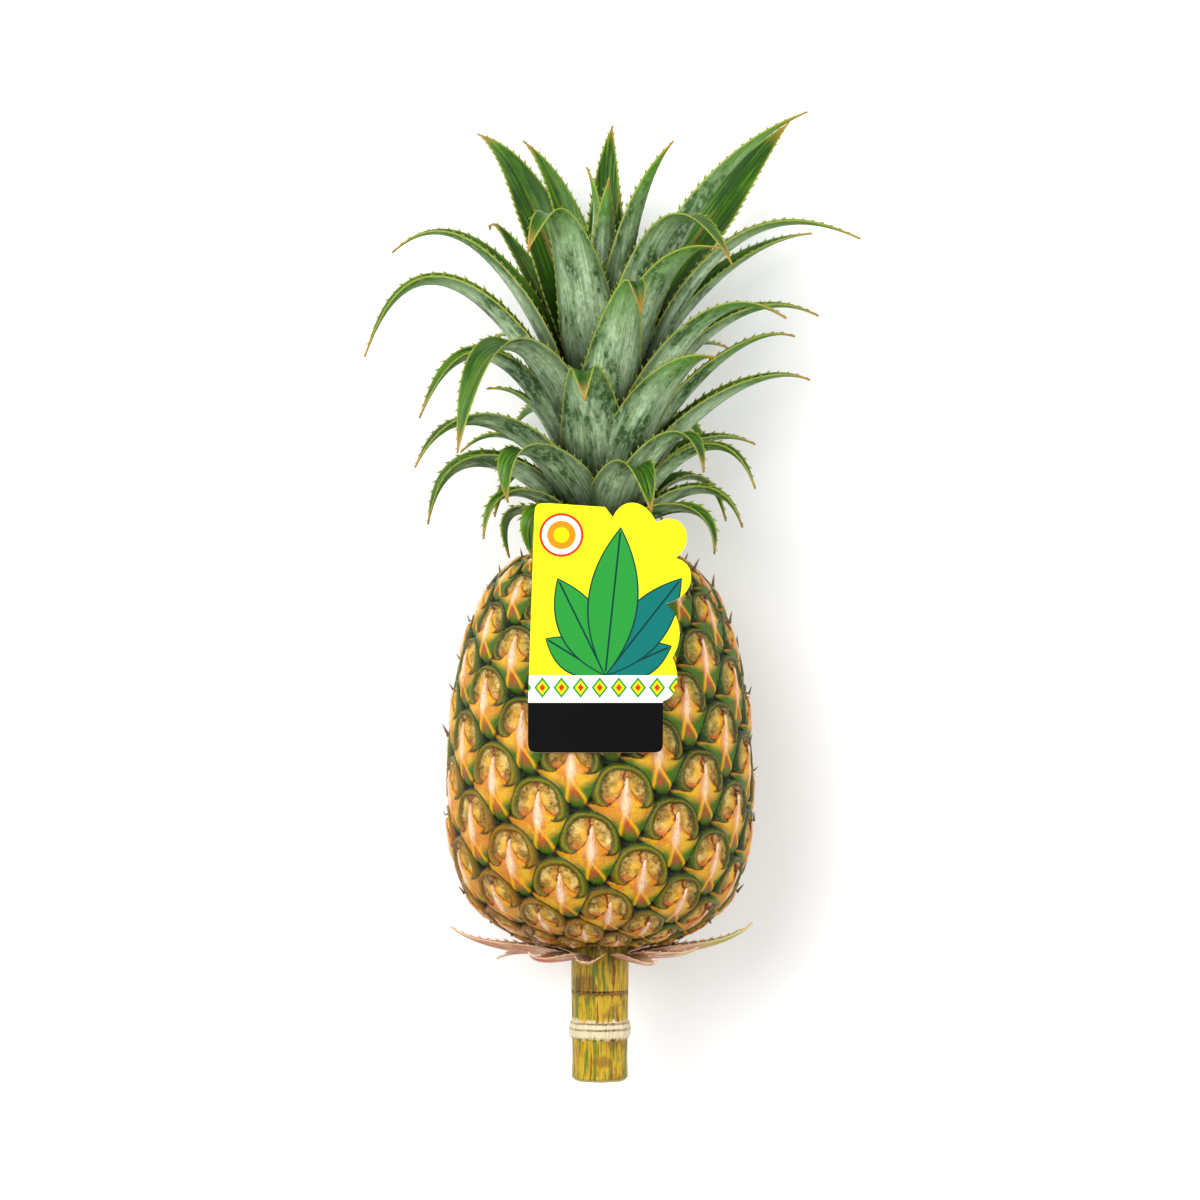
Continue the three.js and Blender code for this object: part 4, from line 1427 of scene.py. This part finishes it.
class Blade:
    """One leaf or bract blade, channelled along its middle."""

    def __init__(self, line: BladeLine, width: float, roll: float, shape: BladeShape) -> None:
        """Works out the blade's net.

        Args:
            line: The line that it follows.
            width: Its greatest width in millimetres.
            roll: How far it is turned about its own line, in degrees.
            shape: Its section.
        """
        self.shape = shape
        places, along, share, self.length = line.walk(shape.step)
        side = line.side()
        across = unit(side - along * (along @ side)[:, None])
        turn = np.radians(roll) * np.minimum(1, shape.roll_ramp * share)[:, None]
        across = across * np.cos(turn) + np.cross(along, across) * np.sin(turn)
        inner = np.cross(along, across)
        fold = np.radians(
            shape.fold_root
            + (shape.fold_tip - shape.fold_root) * share
            + shape.fold_swell * np.sin(np.pi * share)
        )
        half = shape.half_width(share, width)
        column = np.array(shape.columns)
        low, high = math.sqrt(shape.valley), math.sqrt(1.0 + shape.valley)
        rounded = (np.sqrt(column**2 + shape.valley) - low) / (high - low)
        reach = half[:, None] * column
        sheet = places[:, None] + across[:, None] * (reach * np.cos(fold)[:, None])[..., None]
        sheet += inner[:, None] * (half[:, None] * rounded * np.sin(fold)[:, None])[..., None]
        self.sheet = shape.rest_on_floor(sheet)
        slope = np.sin(fold)[:, None, None] * np.sign(column)[:, None] * across[:, None]
        self.normal = unit(inner[:, None] * np.cos(fold)[:, None, None] - slope)
        self.share, self.reach, self.half = share, reach, half
        self.along = along

    def net(self) -> tuple[np.ndarray, list[list[int]]]:
        """Closes the blade with its inner face, outer face, margins and ends.

        Returns:
            The places, and the faces as vertex numbers.
        """
        shape = self.shape
        column = np.array(shape.columns)
        thick = shape.edge_thickness + (shape.thickness - shape.edge_thickness) * (1 - column**2)
        lift = self.normal * (thick / 2)[:, None]
        points = np.stack([self.sheet + lift, self.sheet - lift], axis=1)
        rows, wide = len(self.share), len(column)
        index = np.arange(rows * 2 * wide).reshape(rows, 2, wide)
        upper, lower = index[:, 0], index[:, 1]
        faces: list[list[int]] = []
        for net, flip in ((upper, False), (lower, True)):
            quads = np.stack([net[:-1, :-1], net[1:, :-1], net[1:, 1:], net[:-1, 1:]], axis=-1)
            faces += (quads[..., ::-1] if flip else quads).reshape(-1, 4).tolist()
        for edge, flip in ((0, False), (wide - 1, True)):
            top, under = upper[:, edge], lower[:, edge]
            quads = np.stack([top[:-1], under[:-1], under[1:], top[1:]], axis=-1)
            faces += (quads[..., ::-1] if flip else quads).tolist()
        faces.append([*upper[0], *lower[0][::-1]])
        faces.append([*upper[-1][::-1], *lower[-1]])
        return points.reshape(-1, 3), faces

    def marks(self, seed: float, age: float) -> dict[str, np.ndarray]:
        """What the mesh holds for its finish and its spines.

        Args:
            seed: A number of the blade's own, from 0 to 1.
            age: 0 for the youngest blade and 1 for the oldest.

        Returns:
            One row for each point, by attribute name.
        """
        rows, wide = self.reach.shape
        full = (rows, 2, wide)
        side = np.broadcast_to(np.array([Side.INNER.value, Side.OUTER.value])[:, None], full)
        reach = np.broadcast_to(self.reach[:, None], full)
        run = np.broadcast_to((self.share * self.length)[:, None, None], full)
        share = np.broadcast_to(self.share[:, None, None], full)
        near_edge = np.broadcast_to(self.half[:, None, None], full) - np.abs(reach)
        spots = np.stack([reach, run, share], axis=-1)
        looks = np.stack([side, near_edge, share * 0 + seed + 2 * round(age, 2)], axis=-1)
        return {"blade": spots.reshape(-1, 3), "looks": looks.reshape(-1, 3), **self.spines(full)}

    def spines(self, full: tuple[int, int, int]) -> dict[str, np.ndarray]:
        """Stands spines along the margins.

        Args:
            full: How many rows, faces and columns the net has.

        Returns:
            The spines' sizes and headings, one row for each point.
        """
        size = np.zeros((*full, 3))
        heading = np.zeros((*full, 3))
        heading[..., 1] = 1.0
        for edge, sign in ((0, -1.0), (full[2] - 1, 1.0)):
            out = unit(self.sheet[:, edge] - self.sheet[:, edge - int(sign)])
            heading[:, 0, edge] = unit(self.along * SPINE_ALONG + out * SPINE_OUT)
            inside = (self.share > FIRST_SPINE) & (self.share < LAST_SPINE)
            size[1::2, 0, edge, 0] = (inside * (0.6 + 0.4 * np.sin(np.pi * self.share)))[1::2]
        size[..., 1] = 1.0
        return {"spine": size.reshape(-1, 3), "heading": heading.reshape(-1, 3)}


@dataclass(frozen=True)
class LeafFinish:
    """The colours of the crown's leaves."""

    bloom: str = "#6f8c5c"
    bloom_light: str = "#bdd0ae"
    rubbed: str = "#244a10"
    inner: str = "#5c901a"
    inner_dark: str = "#1b3d08"
    midline: str = "#9a5f4a"
    margin: str = "#b4b84a"
    spine: str = "#a87f33"
    # base: a near-black painted shade, laid on each leaf's lower part where the leaves crowd round the core
    base: str = "#0f2006"
    fleck: str = "#22310f"

    def material(self) -> bpy.types.Material:
        """The leaves' material.

        Returns:
            The material.
        """
        paint = Paint("leaf_green")
        reach, run, share = paint.parts(paint.attribute("blade"))
        side, near_edge, seed = paint.parts(paint.attribute("looks"))
        lines = paint.noise(paint.joined(reach * 1.9, run * 0.03, seed * 9.0), 1.0, 4.0, 0.65)
        patch = paint.noise(paint.joined(reach * 0.14, run * 0.04, seed * 23.0), 1.0, 4.0, 0.6)
        wax = paint.noise(paint.joined(reach * 0.5, run * 0.3, seed * 13.0), 1.0, 4.0, 0.7)
        outer = paint.layers(
            self.bloom,
            (rise(0.35, 0.65, lines * 0.5 + wax * 0.5), self.bloom_light),
            (rise(0.46, 0.6, patch) * rise(0.36, 0.56, wax) * 0.9, self.rubbed),
            (rise(4.5, 1.0, near_edge) * rise(0.3, 0.55, wax) * 0.7, self.rubbed),
            (rise(0.5, 0.95, share) * 0.75, self.inner),
        )
        pink = bell(reach, 1.1) * rise(0.45, 0.6, patch) * rise(0.95, 0.3, share)
        inner = paint.layers(
            self.inner_dark,
            (rise(0.35, 0.68, lines), self.inner),
            (rise(0.58, 0.38, patch) * 0.6, self.inner_dark),
            (pink * 0.7, self.midline),
        )
        flecks = rise(0.2, 0.08, paint.cells(paint.joined(reach, run * 0.6, seed * 5.0), 0.35))
        colour = paint.layers(
            outer,
            (rise(-0.2, 0.2, side), inner),
            (flecks * rise(0.4, 0.6, wax) * 0.7, self.fleck),
            (rise(0.9, 0.1, near_edge) * 0.6, self.margin),
            (rise(0.88, 1.0, share) * 0.85, self.spine),
            # painted shade on each leaf's lower part
            (rise(0.42, 0.12, share) * 0.85, self.base),
        )
        rough = rise(0.3, 0.7, wax) * 0.1 + rise(-0.2, 0.2, -side) * 0.16 + 0.3
        paint.bump(lines, 0.3)
        return paint.done(colour, rough, Specular_IOR_Level=0.4)


@dataclass(frozen=True)
class Crown:
    """The crown: its short stem and the leaves on it, which share one section."""

    shape: BladeShape
    side_azimuths: tuple[float, float] = (56.0, 117.0)
    side_fold: float = 0.42
    side_roll: float = 0.3

    def root(self, height: float) -> tuple[float, float, float, float]:
        """Where a leaf leaves the stem, and which way it sets out."""
        radii, heights = zip(*CORE_PROFILE)
        return (float(np.interp(height, heights[1:], radii[1:])) + LEAF_ROOT_GAP, height, *LEAF_HEADING)

    def blade(self, line: BladeLine, width: float, roll: float) -> Blade:
        """Shapes one leaf.

        A leaf at the crown's side opens towards the crown's tip: it is more deeply channelled there
        and less turned, so that its pale outer face is the one that shows from above.

        Args:
            line: The line that it follows.
            width: Its greatest width.
            roll: How far it is turned about its line, in degrees.

        Returns:
            The leaf's blade.
        """
        low, high = self.side_azimuths
        if not low < abs(line.azimuth) < high:
            return Blade(line, width, roll, self.shape)
        deeper = self.shape.fold_swell + abs(roll) * self.side_fold
        return Blade(line, width, roll * self.side_roll, replace(self.shape, fold_swell=deeper))

    def build(self, finish: LeafFinish, spine: bpy.types.Object) -> list[bpy.types.Object]:
        """Builds the leaves, each an object of its own.

        Args:
            finish: The leaves' colours.
            spine: The mesh of one spine.

        Returns:
            The leaves, from the youngest to the oldest.
        """
        material = finish.material()
        made = []
        for k, (azimuth, root, bend, tip, sway, width, roll) in enumerate(LEAVES):
            line = BladeLine(azimuth, self.root(root), bend, tip, sway)
            blade = self.blade(line, width, roll)
            leaf = make_object(f"crown_leaf_{k + 1:02d}", *blade.net())
            seed = math.modf(abs(math.sin((k + 1) * SCATTER_TURN)) * SCATTER_SIZE)[0]
            for name, rows in blade.marks(seed, k / len(LEAVES)).items():
                store(leaf, name, "POINT", rows)
            Spikes(spine, material).tree(k).apply(leaf)
            place_piece(leaf, [f"leaf_{k + 1:02d}"])
            made.append(leaf)
        return made

    def dress_stem(self, finish: LeafFinish) -> None:
        """Gives the crown's own stem, hidden among the leaves, its finish.

        Args:
            finish: The leaves' colours.
        """
        paint = Paint("crown_stem")
        place = paint.place()
        lines = paint.noise(place, 0.4, 3.0)
        # the stem takes the leaves' near-black painted shade colour, streaked with their margin colour
        colour = paint.mix(rise(0.3, 0.7, lines), finish.base, finish.margin)
        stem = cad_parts["crown_stem"]
        stem.data.materials.clear()
        stem.data.materials.append(paint.done(colour, 0.6))


# The stem and the bracts at its top

STEM_PROFILE = (
    (-136, 9.8), (-134.8, 10.9), (-126, 10.7), (-119.6, 10.8), (-118.2, 11.9), (-115.2, 12.1),
    (-112.8, 11.7), (-111.6, 10.9), (-100, 11.1), (-91, 11.2), (-82, 10.9),
)
BRACTS = (
    (-82, (45, -81.5), (60, -74), 16),
    (-99, (30, -85.5), (42, -88), 12),
    (-42, (25, -87), (42, -82.5), 15),
    (-12, (20, -87.5), (33, -86), 16),
    (36, (24, -87.5), (38, -86), 15),
    (60, (31, -85.5), (45, -81), 13),
    (78, (43, -82), (62, -72), 14),
    (101, (38, -83.5), (57.5, -76.5), 12),
    (140, (28, -86), (48, -82), 13),
    (178, (30, -85.5), (50, -79), 14),
    (-138, (28, -86), (46, -83.5), 13),
)


@dataclass(frozen=True)
class StemFinish:
    """The colours of the cut stem."""

    light: str = "#c9a416"
    green: str = "#6c7a10"
    brown: str = "#67370a"
    paper: str = "#e6d6b4"
    cut: str = "#cdbb84"
    scar: float = -100.8
    ring: tuple[float, float] = (-118.5, -112.4)
    end: float = -136.0

    def material(self) -> bpy.types.Material:
        """The stem's material.

        Returns:
            The material.
        """
        paint = Paint("stem_skin")
        x, y, z = paint.parts(paint.place())
        height = y - REST_EYE_SETBACK
        streaks = paint.noise(paint.joined(x * 0.7, height * 0.05, z * 0.7), 1.0, 4.0, 0.65)
        patch = paint.noise(paint.place(), 0.09, 3.0)
        ragged = height + (streaks - 0.5) * 6.0
        low, high = self.ring
        ring = rise(low - 1.0, low, ragged) * rise(high + 1.4, high, ragged)
        colour = paint.layers(
            self.green,
            (rise(0.4, 0.52, streaks), self.light),
            (rise(0.55, 0.64, streaks) * 0.85, self.brown),
            (rise(0.5, 0.62, patch) * 0.55, self.brown),
            (bell(ragged - self.scar, 0.7) * 0.9, self.brown),
            (ring * 0.9, self.paper),
            (rise(self.end + 1.1, self.end + 0.3, height), self.cut),
        )
        paint.bump(streaks, 1.6)
        return paint.done(colour, 0.38)


@dataclass(frozen=True)
class Stem:
    """The cut stem, fluted along its length and finely ribbed: each rib wave has a depth and a count."""

    sides: int = 84
    flutes: int = 7
    flute_depth: float = 0.28
    step: float = 0.8
    coarse_rib: tuple[float, int] = (0.16, 23)
    fine_rib: tuple[float, int] = (0.12, 37)

    def build(self, finish: StemFinish) -> bpy.types.Object:
        """Builds the stem.

        Args:
            finish: The stem's colours.

        Returns:
            The finished object.
        """
        heights = np.array([h for h, _ in STEM_PROFILE], float)
        radii = np.array([r for _, r in STEM_PROFILE], float)
        fine = np.unique(np.concatenate([heights, np.arange(heights[0], heights[-1], self.step)]))
        azimuth = np.arange(self.sides) * 360.0 / self.sides
        turn = np.radians(azimuth)
        ribs = self.coarse_rib[0] * np.sin(turn * self.coarse_rib[1] + 1.0)
        ribs += self.fine_rib[0] * np.sin(turn * self.fine_rib[1])
        flute = self.flute_depth * np.cos(turn * self.flutes) + ribs
        radius = np.interp(fine, heights, radii)[:, None] + flute
        points = around(radius, fine[:, None], azimuth).reshape(-1, 3)
        index = np.arange(len(points)).reshape(len(fine), self.sides)
        after = np.roll(index, -1, axis=1)
        quads = np.stack([index[:-1], index[1:], after[1:], after[:-1]], axis=-1).reshape(-1, 4)
        ends = [index[0].tolist(), index[-1][::-1].tolist()]
        made = make_object("stem_skin", points, quads.tolist() + ends)
        made.data.materials.append(finish.material())
        place_piece(made, ["stem"])
        return made


@dataclass(frozen=True)
class BractFinish:
    """The colours of the papery bracts round the stem's top."""

    cream: str = "#e8cfa8"
    pink: str = "#c4656a"
    tan: str = "#b9824f"
    green: str = "#b3b75c"

    def material(self) -> bpy.types.Material:
        """The bracts' material.

        Returns:
            The material.
        """
        paint = Paint("bract_paper")
        reach, run, share = paint.parts(paint.attribute("blade"))
        _, near_edge, seed = paint.parts(paint.attribute("looks"))
        lines = paint.noise(paint.joined(reach * 1.3, run * 0.07, seed * 9.0), 1.0, 4.0, 0.65)
        patch = paint.noise(paint.joined(reach * 0.1, run * 0.05, seed * 23.0), 1.0, 2.0)
        colour = paint.layers(
            self.pink,
            (rise(0.35, 0.65, lines), self.cream),
            (rise(0.45, 0.6, patch) * 0.7, self.tan),
            (rise(0.35, 0.8, share) * rise(0.4, 0.6, seed), self.green),
            (rise(0.8, 0.1, near_edge) * 0.6, self.cream),
        )
        paint.bump(lines, 0.4)
        return paint.done(colour, 0.6)


@dataclass(frozen=True)
class BasalBracts:
    """The bracts that spread from the top of the stem under the fruit, and share one section."""

    shape: BladeShape
    root: tuple[float, float, float, float] = (13.0, -86.8, 1.0, 0.15)

    def build(self, finish: BractFinish, spine: bpy.types.Object) -> bpy.types.Object:
        """Builds the bracts as one piece, as they grow.

        Args:
            finish: Their colours.
            spine: The mesh of one spine.

        Returns:
            The finished object.
        """
        points, faces, marks = [], [], []
        for k, (azimuth, bend, tip, width) in enumerate(BRACTS):
            line = BladeLine(azimuth, self.root, bend, tip)
            blade = Blade(line, width, 0, self.shape)
            own, own_faces = blade.net()
            first = sum(len(p) for p in points)
            faces += [[v + first for v in face] for face in own_faces]
            points.append(own)
            marks.append(blade.marks(k / len(BRACTS), 0.0))
        made = make_object("basal_bract_paper", np.vstack(points), faces)
        for name in marks[0]:
            store(made, name, "POINT", np.vstack([rows[name] for rows in marks]))
        Spikes(spine, finish.material()).tree(len(BRACTS)).apply(made)
        place_piece(made, ["basal_bracts"])
        return made


# The card


@dataclass(frozen=True)
class CardFinish:
    """The colours and the plain pattern of the card's print, in millimetres on the card."""

    field: str = "#f3e30c"
    band: str = "#040406"
    edge: str = "#f4f1e4"
    green: str = "#2f8f3c"
    teal: str = "#12706a"
    dark: str = "#0c3f3a"
    red: str = "#d23a24"
    orange: str = "#ef8a1c"
    sprig_foot: tuple[float, float] = (2.0, 27.0)
    sprig: tuple[tuple[float, float, float], ...] = (
        (-58.0, 27.0, 6.5), (66.0, 28.0, 6.5), (-26.0, 42.0, 8.5), (38.0, 48.0, 8.5), (6.0, 58.0, 9.5),
    )
    sun: tuple[float, float] = (-15.0, 82.0)
    sun_radii: tuple[float, ...] = (8.6, 7.6, 5.6, 3.0)
    diamond_sizes: tuple[float, ...] = (6.4, 4.4, 2.4)
    tile: float = 7.4
    tile_low: float = 17.5
    tile_high: float = 27.0
    band_top: float = 16.2

    def leaf(self, x: Wire, y: Wire, angle: float, length: float, width: float) -> tuple[Wire, Wire]:
        """One printed leaf.

        Args:
            x: Where the print is, across.
            y: Where it is, up.
            angle: How far the leaf leans to +X, in degrees.
            length: Its length.
            width: Half its width.

        Returns:
            How deep a place is inside the leaf, and how far it is from the leaf's middle line.
        """
        turn = math.radians(angle)
        across, up = x - self.sprig_foot[0], y - self.sprig_foot[1]
        along = (across * math.sin(turn) + up * math.cos(turn)) * (1.0 / length)
        off = abs(across * math.cos(turn) - up * math.sin(turn))
        return along * (1.0 - along) * (4.0 * width) - off, off

    def material(self) -> bpy.types.Material:
        """The card's material.

        Returns:
            The material.
        """
        paint = Paint("card_print")
        x, y, side = paint.parts(paint.attribute("card"))
        grain = paint.noise(paint.place(), 6.0, 2.0)
        colour = paint.mix(rise(0.3, 0.7, grain) * 0.03, self.field, self.edge)
        for k, leaf in enumerate(self.sprig):
            inside, off = self.leaf(x, y, *leaf)
            outline, fill = rise(-0.5, -0.2, inside), rise(0.1, 0.4, inside)
            vein = rise(0.45, 0.25, off) * rise(0.5, 1.2, inside)
            tone = (self.green, self.teal)[k % 2]
            colour = paint.layers(colour, (outline, self.dark), (fill, tone), (vein, self.dark))
        far = ((x - self.sun[0]) ** 2.0 + (y - self.sun[1]) ** 2.0) ** 0.5
        for radius, tone in zip(self.sun_radii, (self.red, self.edge, self.orange, self.field)):
            colour = paint.mix(rise(radius + 0.1, radius - 0.1, far), colour, tone)
        column = abs(((x + 100.0) * (1.0 / self.tile)).fraction() - 0.5) * (2.0 * self.tile)
        stretch = self.tile * 2 / (self.tile_high - self.tile_low)
        row = abs(y - (self.tile_low + self.tile_high) / 2) * stretch
        strip = rise(self.tile_high + 0.1, self.tile_high - 0.1, y)
        colour = paint.mix(strip, colour, self.edge)
        for size, tone in zip(self.diamond_sizes, (self.green, self.field, self.red)):
            colour = paint.mix(rise(size + 0.15, size - 0.15, column + row) * strip, colour, tone)
        colour = paint.mix(rise(self.band_top + 0.4, self.band_top, y), colour, self.band)
        colour = paint.mix(rise(0.6, 0.4, side), colour, self.edge)
        paint.bump(grain, 0.02)
        return paint.done(colour, 0.45, Specular_IOR_Level=0.12)


@dataclass(frozen=True)
class LabelCard:
    """The lobed card that lies on the fruit's belly."""

    thickness: float = 0.8
    left: float = -27.8
    right: float = 24.3
    bottom: float = -3.0
    shoulder: float = 17.0
    top: float = 94.5
    corner: float = 6.5
    lift: float = 62.1
    pitch: float = 8.0
    steps: int = 10

    def outline(self) -> np.ndarray:
        """The card's outline, in its own plane.

        Each entry of its list is a straight run's end, or a curve's two handles and its end.

        Returns:
            One row for each corner, from the lower left one on.
        """
        left, right, low, top = self.left, self.right, self.bottom, self.top
        lines = [
            ((right - self.corner, low),),
            ((right, low), (right, low), (right, low + self.corner)),
            ((right, self.shoulder),),
            ((31, 19), (31, 28), (28, 34)),
            ((33, 42), (31, 51), (25.5, 55)),
            ((38, 58), (38, 71), (29.5, 73)),
            ((38, 79), (33, 93), (22, 87)),
            ((17, top + 3), (8, top + 2), (5, 89)),
            ((2, top - 1.5),),
            ((left + 8, top),),
            ((left + 2.5, top), (left + 2.5, top), (left + 2.2, top - 6)),
            ((left, self.shoulder),),
            ((left, low + self.corner),),
            ((left, low), (left, low), (left + self.corner, low)),
        ]
        places = [np.array([left + self.corner, low], float)]
        for ends in lines:
            start, end = places[-1], np.array(ends[-1], float)
            if len(ends) == 1:
                places.append(end)
                continue
            first, second = np.array(ends[0], float), np.array(ends[1], float)
            for t in np.linspace(0, 1, self.steps + 1)[1:]:
                places.append(cubic(start, first, second, end, t))
        return np.array(places[:-1])

    def lay(self, flat: np.ndarray) -> np.ndarray:
        """Turns places on the card into places on the fruit.

        Args:
            flat: Places on the card, with their height over it.

        Returns:
            The same places where the card lies.
        """
        pitch = math.radians(-self.pitch)
        y = flat[:, 1] - self.bottom
        up = y * math.cos(pitch) - flat[:, 2] * math.sin(pitch)
        out = y * math.sin(pitch) + flat[:, 2] * math.cos(pitch)
        height = up + self.bottom + REST_EYE_SETBACK
        return np.stack([flat[:, 0], height, out + AXIS_HEIGHT + self.lift], axis=1)

    def build(self, finish: CardFinish) -> bpy.types.Object:
        """Builds the card.

        Args:
            finish: The card's print.

        Returns:
            The finished object.
        """
        outline = self.outline()
        count = len(outline)
        top = np.column_stack([outline, np.full(count, self.thickness)])
        bottom = np.column_stack([outline, np.zeros(count)])
        points = self.lay(np.vstack([top, bottom]))
        faces = [list(range(count)), list(range(2 * count - 1, count - 1, -1))]
        faces += [[(k + 1) % count, k, count + k, count + (k + 1) % count] for k in range(count)]
        made = make_object("card_print", points, faces)
        made.data.shade_flat()
        side = np.zeros(len(made.data.loops))
        side[:count] = 1.0
        flat = np.vstack([outline, outline])
        loops = np.array([loop.vertex_index for loop in made.data.loops])
        store(made, "card", "CORNER", np.column_stack([flat[loops], side]))
        made.data.materials.append(finish.material())
        place_piece(made, ["label_card"])
        return made


# The set


@dataclass(frozen=True)
class SoftLight:
    """One square soft light: where it hangs and its side in metres, and its power in watts."""

    name: str
    place: tuple[float, float, float]
    size: float
    power: float

    def build(self, target: tuple[float, float, float]) -> None:
        """Hangs the light and aims it.

        Args:
            target: Where it is aimed, in metres.
        """
        data = bpy.data.lights.new(self.name, "AREA")
        data.size = self.size
        data.energy = self.power
        lamp = bpy.data.objects.new(self.name, data)
        lamp.location = self.place
        aim = Vector(target) - Vector(self.place)
        lamp.rotation_euler = aim.to_track_quat("-Z", "Y").to_euler()
        bpy.context.scene.collection.objects.link(lamp)


@dataclass(frozen=True)
class Studio:
    """The pale floor, the soft lights and the camera."""

    key: SoftLight = SoftLight("key", (-0.65, 0.45, 1.0), 1.0, 13.5)
    fill: SoftLight = SoftLight("fill", (0.85, 0.1, 0.95), 1.0, 7.5)
    light_target: tuple[float, float, float] = (0.0, 0.06, 0.06)
    glow: float = 0.46
    floor_reach: float = 3000.0
    floor_light: str = "#fafafa"
    floor_shade: str = "#f6f6f6"
    camera_distance: float = 1.8
    camera_reach: float = 65.9
    lens: float = 135.0
    sensor: float = 36.0

    def build(self) -> None:
        """Builds all of it."""
        self.floor()
        self.world()
        self.key.build(self.light_target)
        self.fill.build(self.light_target)
        self.camera()

    def floor(self) -> None:
        """A plain pale floor."""
        size = self.floor_reach
        corners = np.array([[-size, -size, 0], [size, -size, 0], [size, size, 0], [-size, size, 0]])
        made = make_object("floor", corners, [[0, 1, 2, 3]])
        paint = Paint("floor")
        tone = paint.noise(paint.place(), 0.01, 1.0)
        colour = paint.mix(tone * 0.3, self.floor_light, self.floor_shade)
        made.data.materials.append(paint.done(colour, 0.8))

    def world(self) -> None:
        """An even white glow all round."""
        world = bpy.data.worlds.new("studio")
        world.use_nodes = True
        background = world.node_tree.nodes["Background"]
        background.inputs["Color"].default_value = (1.0, 1.0, 1.0, 1.0)
        background.inputs["Strength"].default_value = self.glow
        bpy.context.scene.world = world

    def camera(self) -> None:
        """The camera straight above the fruit, with the crown at the picture's top."""
        data = bpy.data.cameras.new("camera")
        data.lens = self.lens
        data.sensor_width = self.sensor
        camera = bpy.data.objects.new("camera", data)
        height = AXIS_HEIGHT * MM + self.camera_distance
        camera.location = (0.0, self.camera_reach * MM, height)
        bpy.context.scene.collection.objects.link(camera)
        bpy.context.scene.camera = camera
        bpy.context.scene.view_settings.view_transform = "Standard"
        bpy.context.scene.view_settings.look = "Medium High Contrast"


def main() -> None:
    """Builds the pineapple piece by piece, then the set round it."""
    logging.basicConfig(level=logging.INFO, format="%(message)s")
    spine = Spike("margin_spine", length=2.2, width=1.0, thickness=0.5, curl=0.25).build()
    tip = Spike("dried_tip", length=5.0, width=1.4, thickness=0.35, curl=1.7, rings=4, sides=5).build()
    store(tip, "bract", "CORNER", [(0.5, TIP_MARK, 0.5)] * len(tip.data.loops))
    store(tip, "lead", "POINT", [(1.0, 1.0, 0.0)] * len(tip.data.vertices))
    fruit = Fruit(EyeShape()).build(SkinFinish(), tip)
    log.info("%s: %d faces", fruit.name, len(fruit.data.polygons))
    stem = Stem().build(StemFinish())
    log.info("%s: %d faces", stem.name, len(stem.data.polygons))
    bracts = BasalBracts(BladeShape(thickness=0.8, edge_gain=0.0)).build(BractFinish(), spine)
    log.info("%s: %d faces", bracts.name, len(bracts.data.polygons))
    crown = Crown(BladeShape())
    leaves = crown.build(LeafFinish(), spine)
    crown.dress_stem(LeafFinish())
    log.info("%d leaves: %d faces", len(leaves), sum(len(leaf.data.polygons) for leaf in leaves))
    card = LabelCard().build(CardFinish())
    log.info("%s: %d faces", card.name, len(card.data.polygons))
    bpy.data.objects.remove(spine)
    bpy.data.objects.remove(tip)
    Studio().build()


if __name__ == "__main__":
    main()
